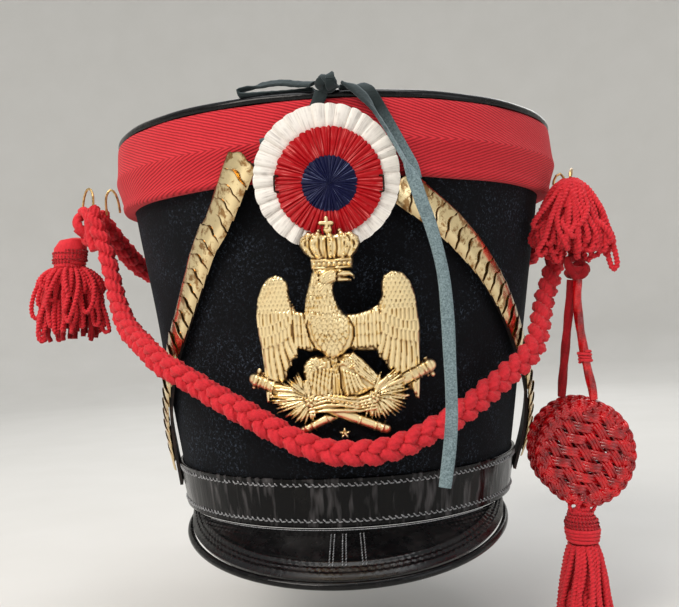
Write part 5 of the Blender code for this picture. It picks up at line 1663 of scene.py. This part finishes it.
# A drooping loop: how far out, how far down and how far aside it is, as shares of its own size
DROOP = ((0.30, 0, 0), (0.58, -0.12, 0.1), (0.84, -0.40, 0.3), (0.97, -0.72, 0.6), (0.96, -0.94, 0.85),
         (0.86, -1, 1), (0.76, -0.88, 1.1), (0.72, -0.62, 1.15), (0.60, -0.36, 1.1))


def drooping(spot, count, reach, drop, rng):
    """Routes of short loops that spring from under a head, droop and turn back up."""
    routes = []
    for k in range(count):
        turn = 2 * pi * (k + rng.uniform(-0.4, 0.4)) / count
        far, low = reach * rng.uniform(0.66, 1.04), drop * rng.uniform(0.5, 1.15)
        lean = rng.uniform(-0.6, 0.6)
        points = []
        for out, down, side in DROOP:
            bend = turn + lean * side
            points.append((spot[0] + far * out * sin(bend), spot[1] - 0.62 * far * out * cos(bend),
                           spot[2] + low * down))
        routes.append(even_points(points, 0.6))
    return routes


def coil(centre, axis, radius, turns=1.06, lift=0, count=34):
    """A loop of cord round an axis, its ends passing each other."""
    where = stand(centre, axis, (0.2, -1, 0.15))
    points = []
    for i in range(count + 1):
        t = i / count * turns * 2 * pi
        points.append(where @ Vector((radius * sin(t), lift * (i / count - 0.5), radius * cos(t))))
    return points


THIN_BULLION, THICK_BULLION = 1.5, 1.6
# Strands of the left knot that aren't coils, and of the mop's stray locks
LEFT_TURNS = (
    ((-144.8, -9.8, 150.4), (-142.6, -13.6, 156), (-142.6, -14.2, 162.4), (-145.6, -11.6, 166.6),
     (-148.6, -6.6, 167)),
    ((-141.8, -15.4, 166.6), (-141.4, -15.6, 160), (-141.2, -15.8, 151), (-139, -16.6, 143.4)))
RIGHT_TURN = ((121, -52.6, 124), (120.4, -54.6, 119.6), (122.6, -55.2, 115.6), (124.8, -54.4, 112.4))
MOP_LOCKS = (
    ((131, -56, 160.5), (137, -58, 150), (141.5, -57, 138), (144.2, -56, 127), (145.4, -55, 119.6),
     (143.6, -54, 117.2), (141.8, -54, 122), (140.4, -54, 130)),
    ((117.6, -58, 160), (110.6, -60, 152), (104.4, -60, 145.2), (102.4, -59, 141), (105, -58, 140.2),
     (109.4, -57, 143.4)),
    ((118, -60, 158), (112, -62, 146), (107.4, -62, 134), (103.6, -61, 127.6), (105.6, -59, 125.6),
     (109, -58, 129)))
MOP_CAP = ((165.6, 124.4, -52, 3.2, 2.8), (163.8, 124.2, -52, 6.6, 5.8), (158, 124, -52, 9.6, 8),
           (150, 123.6, -52, 11, 9))


def build_left_tassel(sizes):
    """Knot of thick cord, a domed head wound with cord, bullion over straight strands darkened as painted
    shade.
    """
    loops = [coil((-146.4, -7.4, 159.6), (0.55, -0.7, 0.35), 5.4, 1.15, 2.5),
             coil((-143.6, -8.6, 153.8), (-0.5, -0.8, 0.1), 4.8, 1.15, 2.5)]
    loops += [even_points(turn, 1) for turn in LEFT_TURNS]
    knot = swept("left_knot_cord", loops, 2.9, lobes=4, depth=0.16, count=16, pitch=16)
    wear(knot, "wool", "red_cord", "left_knot")

    dome = core("left_head_core", LEFT_HEAD, 0.7)
    wraps = whipping("left_head_wraps", LEFT_HEAD, 0.95, 135.4, 145, 0.25)
    neck_line = ((136.4, -158.7, -2.4, 9.4, 8.6), (133.6, -158.8, -2.4, 9.4, 8.6))
    neck = whipping("left_neck", neck_line, 1.2, 134, 136)
    wear(joined("left_tassel_head_cord", [dome, wraps, neck]), "wool", "red_cord",
         "left_tassel_head", check=False)

    rng = random.Random(21)
    twist = sizes.bullion_pitch
    outer = bullion("left_bullion", hanging(LEFT_FRINGE, 22, 0.96, 93, rng, 0.8, 2.2), THIN_BULLION, twist)
    under = (-158.8, -2.4, 135.2)
    loops = drooping(under, 22, 24.8, 29, rng) + drooping(under, 18, 19, 21, rng)
    short = bullion("left_short_bullion", loops, THIN_BULLION, twist)
    wear(joined("left_bullion_cords", [outer, short]), "wool", "red_wool", "left_tassel_fringe", check=False)
    inner = (hanging(LEFT_FRINGE, 22, 0.66, 91.8, rng, 0, 0.8)
             + hanging(LEFT_FRINGE, 12, 0.38, 92.5, rng, 0, 0.8))
    straight = swept("left_straight_strands", inner, THIN_BULLION, lobes=3, depth=0.2, count=9, pitch=16)
    wear(straight, "shade", "red_wool")


def build_right_mop(sizes):
    """Mop of bullion loops falling over a knot darkened as painted shade."""
    rng = random.Random(34)
    twist = sizes.bullion_pitch
    outer = hanging(RIGHT_MOP, 29, 0.96, 125, rng, 1.1, 3, 164.6, 0.24)
    middle = hanging(RIGHT_MOP, 19, 0.74, 123, rng, 0.8, 2, 163.8, 0.20)
    loose = drooping((124.2, -53, 156), 11, 20, 25, rng) + drooping((123.6, -53, 146), 11, 22, 21, rng)
    stray = [even_points(lock, 0.6) for lock in MOP_LOCKS] + loose
    layers = [bullion(name, routes, THICK_BULLION, twist) for name, routes in (
        ("mop_outer", outer), ("mop_middle", middle), ("mop_stray", stray))]
    cap = core("mop_cap", MOP_CAP, 0)
    wear(joined("mop_bullion", [*layers, cap]), "wool", "red_wool", "right_tassel_mop", check=False)

    loops = [coil((124.6, -52.6, 120.6), (0.2, -0.9, 0.4), 3.9, 1.1, 2),
             coil((126.4, -52.8, 117.4), (-0.4, -0.8, 0.3), 3.4, 1.1, 2),
             coil((123.8, -51.6, 116), (0.1, 0.2, 1), 3, 1.2, 2.5), even_points(RIGHT_TURN, 0.9)]
    knot = swept("right_knot_cord", loops, 2.2, lobes=3, depth=0.12, count=12, pitch=16)
    wear(knot, "shade", "red_cord", "right_knot")


# ---------------------------------------------------------------- raquettes

# The cords lie three side by side in each bundle of the weave, 6.3 mm from bundle to bundle
MAT_CORD, MAT_BUNDLE, MAT_PITCH, MAT_RISE = 0.86, 1.62, 6.3, 1.25
RIM_CORD, RIM_BUNDLE, RIM_SWING, RIM_PITCH, RIM_INSET = 0.82, 1.5, 1.9, 16, 3
BOW = ((0, -1.5), (-2.4, -4.4), (-1, -7.6), (1.8, -7.4), (2.8, -4), (1.4, -1))


def raquette_form(name, centre, half_x, half_z, seed, lean):
    """Flat raquette: bundles of three cords woven two ways inside a plaited rim."""
    rng = random.Random(seed)
    middle = Vector(centre)
    steep, level = (Vector((cos(radians(slope + lean)), 0, sin(radians(slope + lean))))
                    for slope in (-62, -12))
    spacing = MAT_PITCH / sin(steep.angle(level))
    routes = []
    for along, other, sign in ((steep, level, 1), (level, steep, -1)):
        side = Vector((-along.z, 0, along.x))
        for i in range(-6, 7):
            base = middle + other * (spacing * i)
            slip = rng.uniform(-0.3, 0.3)
            for offset in (-MAT_BUNDLE, 0, MAT_BUNDLE):
                run = []
                for s in np.arange(-34, 34.1, 0.9):
                    weave = cos(pi * (s / spacing + i))
                    spot = base + along * s + side * (offset * (1 - 0.10 * weave * sign) + slip)
                    spot.y += -sign * MAT_RISE * weave + 0.22 * sin(s / 4 + i)
                    flat = hypot((spot.x - middle.x) / (half_x - 2.6), (spot.z - middle.z) / (half_z - 2.6))
                    if flat < 1:
                        run.append(spot)
                    elif run:
                        break
                if len(run) > 3:
                    routes.append(run)
    mat = smooth_wire("raquette_mat", routes, MAT_CORD, 6)

    edges = []
    around = 2 * pi * (half_x + half_z) / 2
    count, knots = int(around / 0.9), round(around / RIM_PITCH)
    for k in range(3):
        for offset in (-RIM_BUNDLE, 0, RIM_BUNDLE):
            run = []
            for i in range(count + 1):
                t = 2 * pi * i / count
                wave = knots * t + k * 2 * pi / 3
                reach = RIM_SWING * sin(wave) + offset * (0.9 + 0.1 * cos(2 * wave))
                run.append(middle + Vector(((half_x - RIM_INSET + reach) * cos(t),
                                            -1.15 * sin(2 * wave) + 0.25 * sin(5 * t),
                                            (half_z - RIM_INSET + reach) * sin(t))))
            edges.append(run)
    rim = smooth_wire("raquette_rim", edges, RIM_CORD, 6)
    return joined(name, [mat, rim])


def build_raquettes(sizes):
    """The two woven raquettes, one behind the other, and their long tassel."""
    for side, *form in (("front", (125, -52, 22.4), 25.4, 27.2, 1, 0),
                        ("back", (121.6, -46.3, 25.4), 25.2, 26.2, 2, 8)):
        wear(raquette_form(side + "_raquette_weave", *form), "cord", "red_cord", "raquette_" + side)

    rng = random.Random(55)
    twist = sizes.bullion_pitch
    head = core("raquette_head_core", RAQUETTE_HEAD, 1.4)
    wraps = whipping("raquette_head_wraps", RAQUETTE_HEAD, 0.95, -23.6, -6.6, 0.2)
    bows = [even_points([(x + across, y, z) for across, z in BOW], 0.8)
            for x, y in ((118, -51), (122, -53), (126, -50.4))]
    bows = swept("raquette_bows", bows, 1.2, depth=0.3, count=8, pitch=4)
    wear(joined("raquette_tassel_head_cord", [head, wraps, bows]), "wool", "red_cord",
         "raquette_tassel_head", check=False)
    outer = hanging(RAQUETTE_FRINGE, 24, 1, -70.5, rng, 1, 1.8)
    inner = hanging(RAQUETTE_FRINGE, 15, 0.6, -70, rng, 0.5, 1.2)
    outer = bullion("raquette_bullion", outer, THICK_BULLION, twist)
    inner = bullion("raquette_bullion_inside", inner, THICK_BULLION, twist)
    wear(joined("raquette_tassel_bullion", [outer, inner]), "wool", "red_wool",
         "raquette_tassel_fringe", check=False)


def build_staples():
    """Bent iron wire that holds the red ring to the white one, left and right."""
    for side, inward in (("left", 1), ("right", -1)):
        box = np.array(bpy.data.objects["cockade_staple_" + side].bound_box) / MM
        low, high = box.min(0), box.max(0)
        x, y = (low[0] + high[0]) / 2, low[1]
        half = [(1.5, 0.9, 0.4), (0.3, 0.1, 0.5), (-0.2, 0, 1.2)]
        route = [(x + inward * across, y + back, low[2] + up) for across, back, up in half]
        route += [(x + inward * across, y + back, high[2] - up) for across, back, up in reversed(half)]
        wire = smooth_wire("cockade_wire_" + side, [even_points(route, 0.3)], 0.42, 8)
        wear(wire, "iron", "gilt_brass", "cockade_staple_" + side)


def finish_fittings():
    """Wire hooks, pin and strap leather keep their CAD shape."""
    for key, names in (("wire", ("band_hook_left", "band_hook_right", "cord_hook_left", "cord_hook_right",
                                 "cockade_pin")),
                       ("leather", ("chin_strap_left", "chin_strap_right"))):
        for name in names:
            for slot in bpy.data.objects[name].material_slots:
                slot.material = FINISH[key]


# ---------------------------------------------------------------- operators, panel, registration

class SHAKO_OT_stage(bpy.types.Operator):
    """Mixes the finishes and sets up the studio: camera, floor and light"""
    bl_idname = "shako.stage"
    bl_label = "Studio"

    def execute(self, context):
        mix_finishes(context.scene.shako_colours, context.scene.shako_sizes)
        build_camera()
        build_stage()
        return {"FINISHED"}


class SHAKO_OT_cords(bpy.types.Operator):
    """Makes the plaits, the raquettes' cords and the suede lace"""
    bl_idname = "shako.cords"
    bl_label = "Cords and lace"

    def execute(self, context):
        build_plaits(context.scene.shako_sizes.plait_pitch / MM)
        build_raquette_cords()
        build_cord_binding()
        build_laces()
        build_lace_knot()
        return {"FINISHED"}


class SHAKO_OT_body(bpy.types.Operator):
    """Makes the felt body, the wool band and the stitched base band"""
    bl_idname = "shako.body"
    bl_label = "Felt body and bands"

    def execute(self, context):
        build_felt()
        build_top_band()
        build_base_band(context.scene.shako_sizes.stitch_pitch)
        return {"FINISHED"}


class SHAKO_OT_leather(bpy.types.Operator):
    """Makes the crown and the tooled visor"""
    bl_idname = "shako.leather"
    bl_label = "Crown and visor"

    def execute(self, context):
        build_crown()
        build_visor()
        return {"FINISHED"}


class SHAKO_OT_cockade(bpy.types.Operator):
    """Makes the three pleated rings of the cockade and their wire staples"""
    bl_idname = "shako.cockade"
    bl_label = "Cockade"

    def execute(self, context):
        build_cockade(context.scene.shako_sizes)
        build_staples()
        return {"FINISHED"}


class SHAKO_OT_plate(bpy.types.Operator):
    """Makes the stamped eagle plate"""
    bl_idname = "shako.plate"
    bl_label = "Eagle plate"

    def execute(self, context):
        build_plate()
        return {"FINISHED"}


class SHAKO_OT_scales(bpy.types.Operator):
    """Makes the chin scales and finishes the hooks, the pin and the straps"""
    bl_idname = "shako.scales"
    bl_label = "Chin scales and fittings"

    def execute(self, context):
        build_chin_scales(context.scene.shako_sizes.scale_pitch)
        finish_fittings()
        return {"FINISHED"}


class SHAKO_OT_tassels(bpy.types.Operator):
    """Makes the left tassel, the right mop and their knots"""
    bl_idname = "shako.tassels"
    bl_label = "Tassel and mop"

    def execute(self, context):
        build_left_tassel(context.scene.shako_sizes)
        build_right_mop(context.scene.shako_sizes)
        return {"FINISHED"}


class SHAKO_OT_raquettes(bpy.types.Operator):
    """Makes the two woven raquettes and their tassel"""
    bl_idname = "shako.raquettes"
    bl_label = "Raquettes"

    def execute(self, context):
        build_raquettes(context.scene.shako_sizes)
        return {"FINISHED"}


OPERATORS = (SHAKO_OT_stage, SHAKO_OT_cords, SHAKO_OT_body, SHAKO_OT_leather, SHAKO_OT_cockade,
             SHAKO_OT_plate, SHAKO_OT_scales, SHAKO_OT_tassels, SHAKO_OT_raquettes)


class SHAKO_PT_panel(bpy.types.Panel):
    """Sizes, colours and pieces of the shako"""
    bl_idname = "SHAKO_PT_panel"
    bl_label = "Shako"
    bl_space_type = "VIEW_3D"
    bl_region_type = "UI"
    bl_category = "Shako"

    def draw(self, context):
        for values in (context.scene.shako_sizes, context.scene.shako_colours):
            box = self.layout.box()
            for name in values.__annotations__:
                box.prop(values, name)
        for operator in OPERATORS:
            self.layout.operator(operator.bl_idname)


CLASSES = (ShakoSizes, ShakoColours, *OPERATORS, SHAKO_PT_panel)


def register():
    for item in CLASSES:
        bpy.utils.register_class(item)
    bpy.types.Scene.shako_sizes = bpy.props.PointerProperty(type=ShakoSizes)
    bpy.types.Scene.shako_colours = bpy.props.PointerProperty(type=ShakoColours)


def unregister():
    del bpy.types.Scene.shako_colours
    del bpy.types.Scene.shako_sizes
    for item in reversed(CLASSES):
        bpy.utils.unregister_class(item)


def main():
    register()
    bpy.ops.shako.stage()
    bpy.ops.shako.cords()
    bpy.ops.shako.body()
    bpy.ops.shako.leather()
    bpy.ops.shako.cockade()
    bpy.ops.shako.plate()
    bpy.ops.shako.scales()
    bpy.ops.shako.tassels()
    bpy.ops.shako.raquettes()
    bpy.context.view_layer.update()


if __name__ == "__main__":
    main()
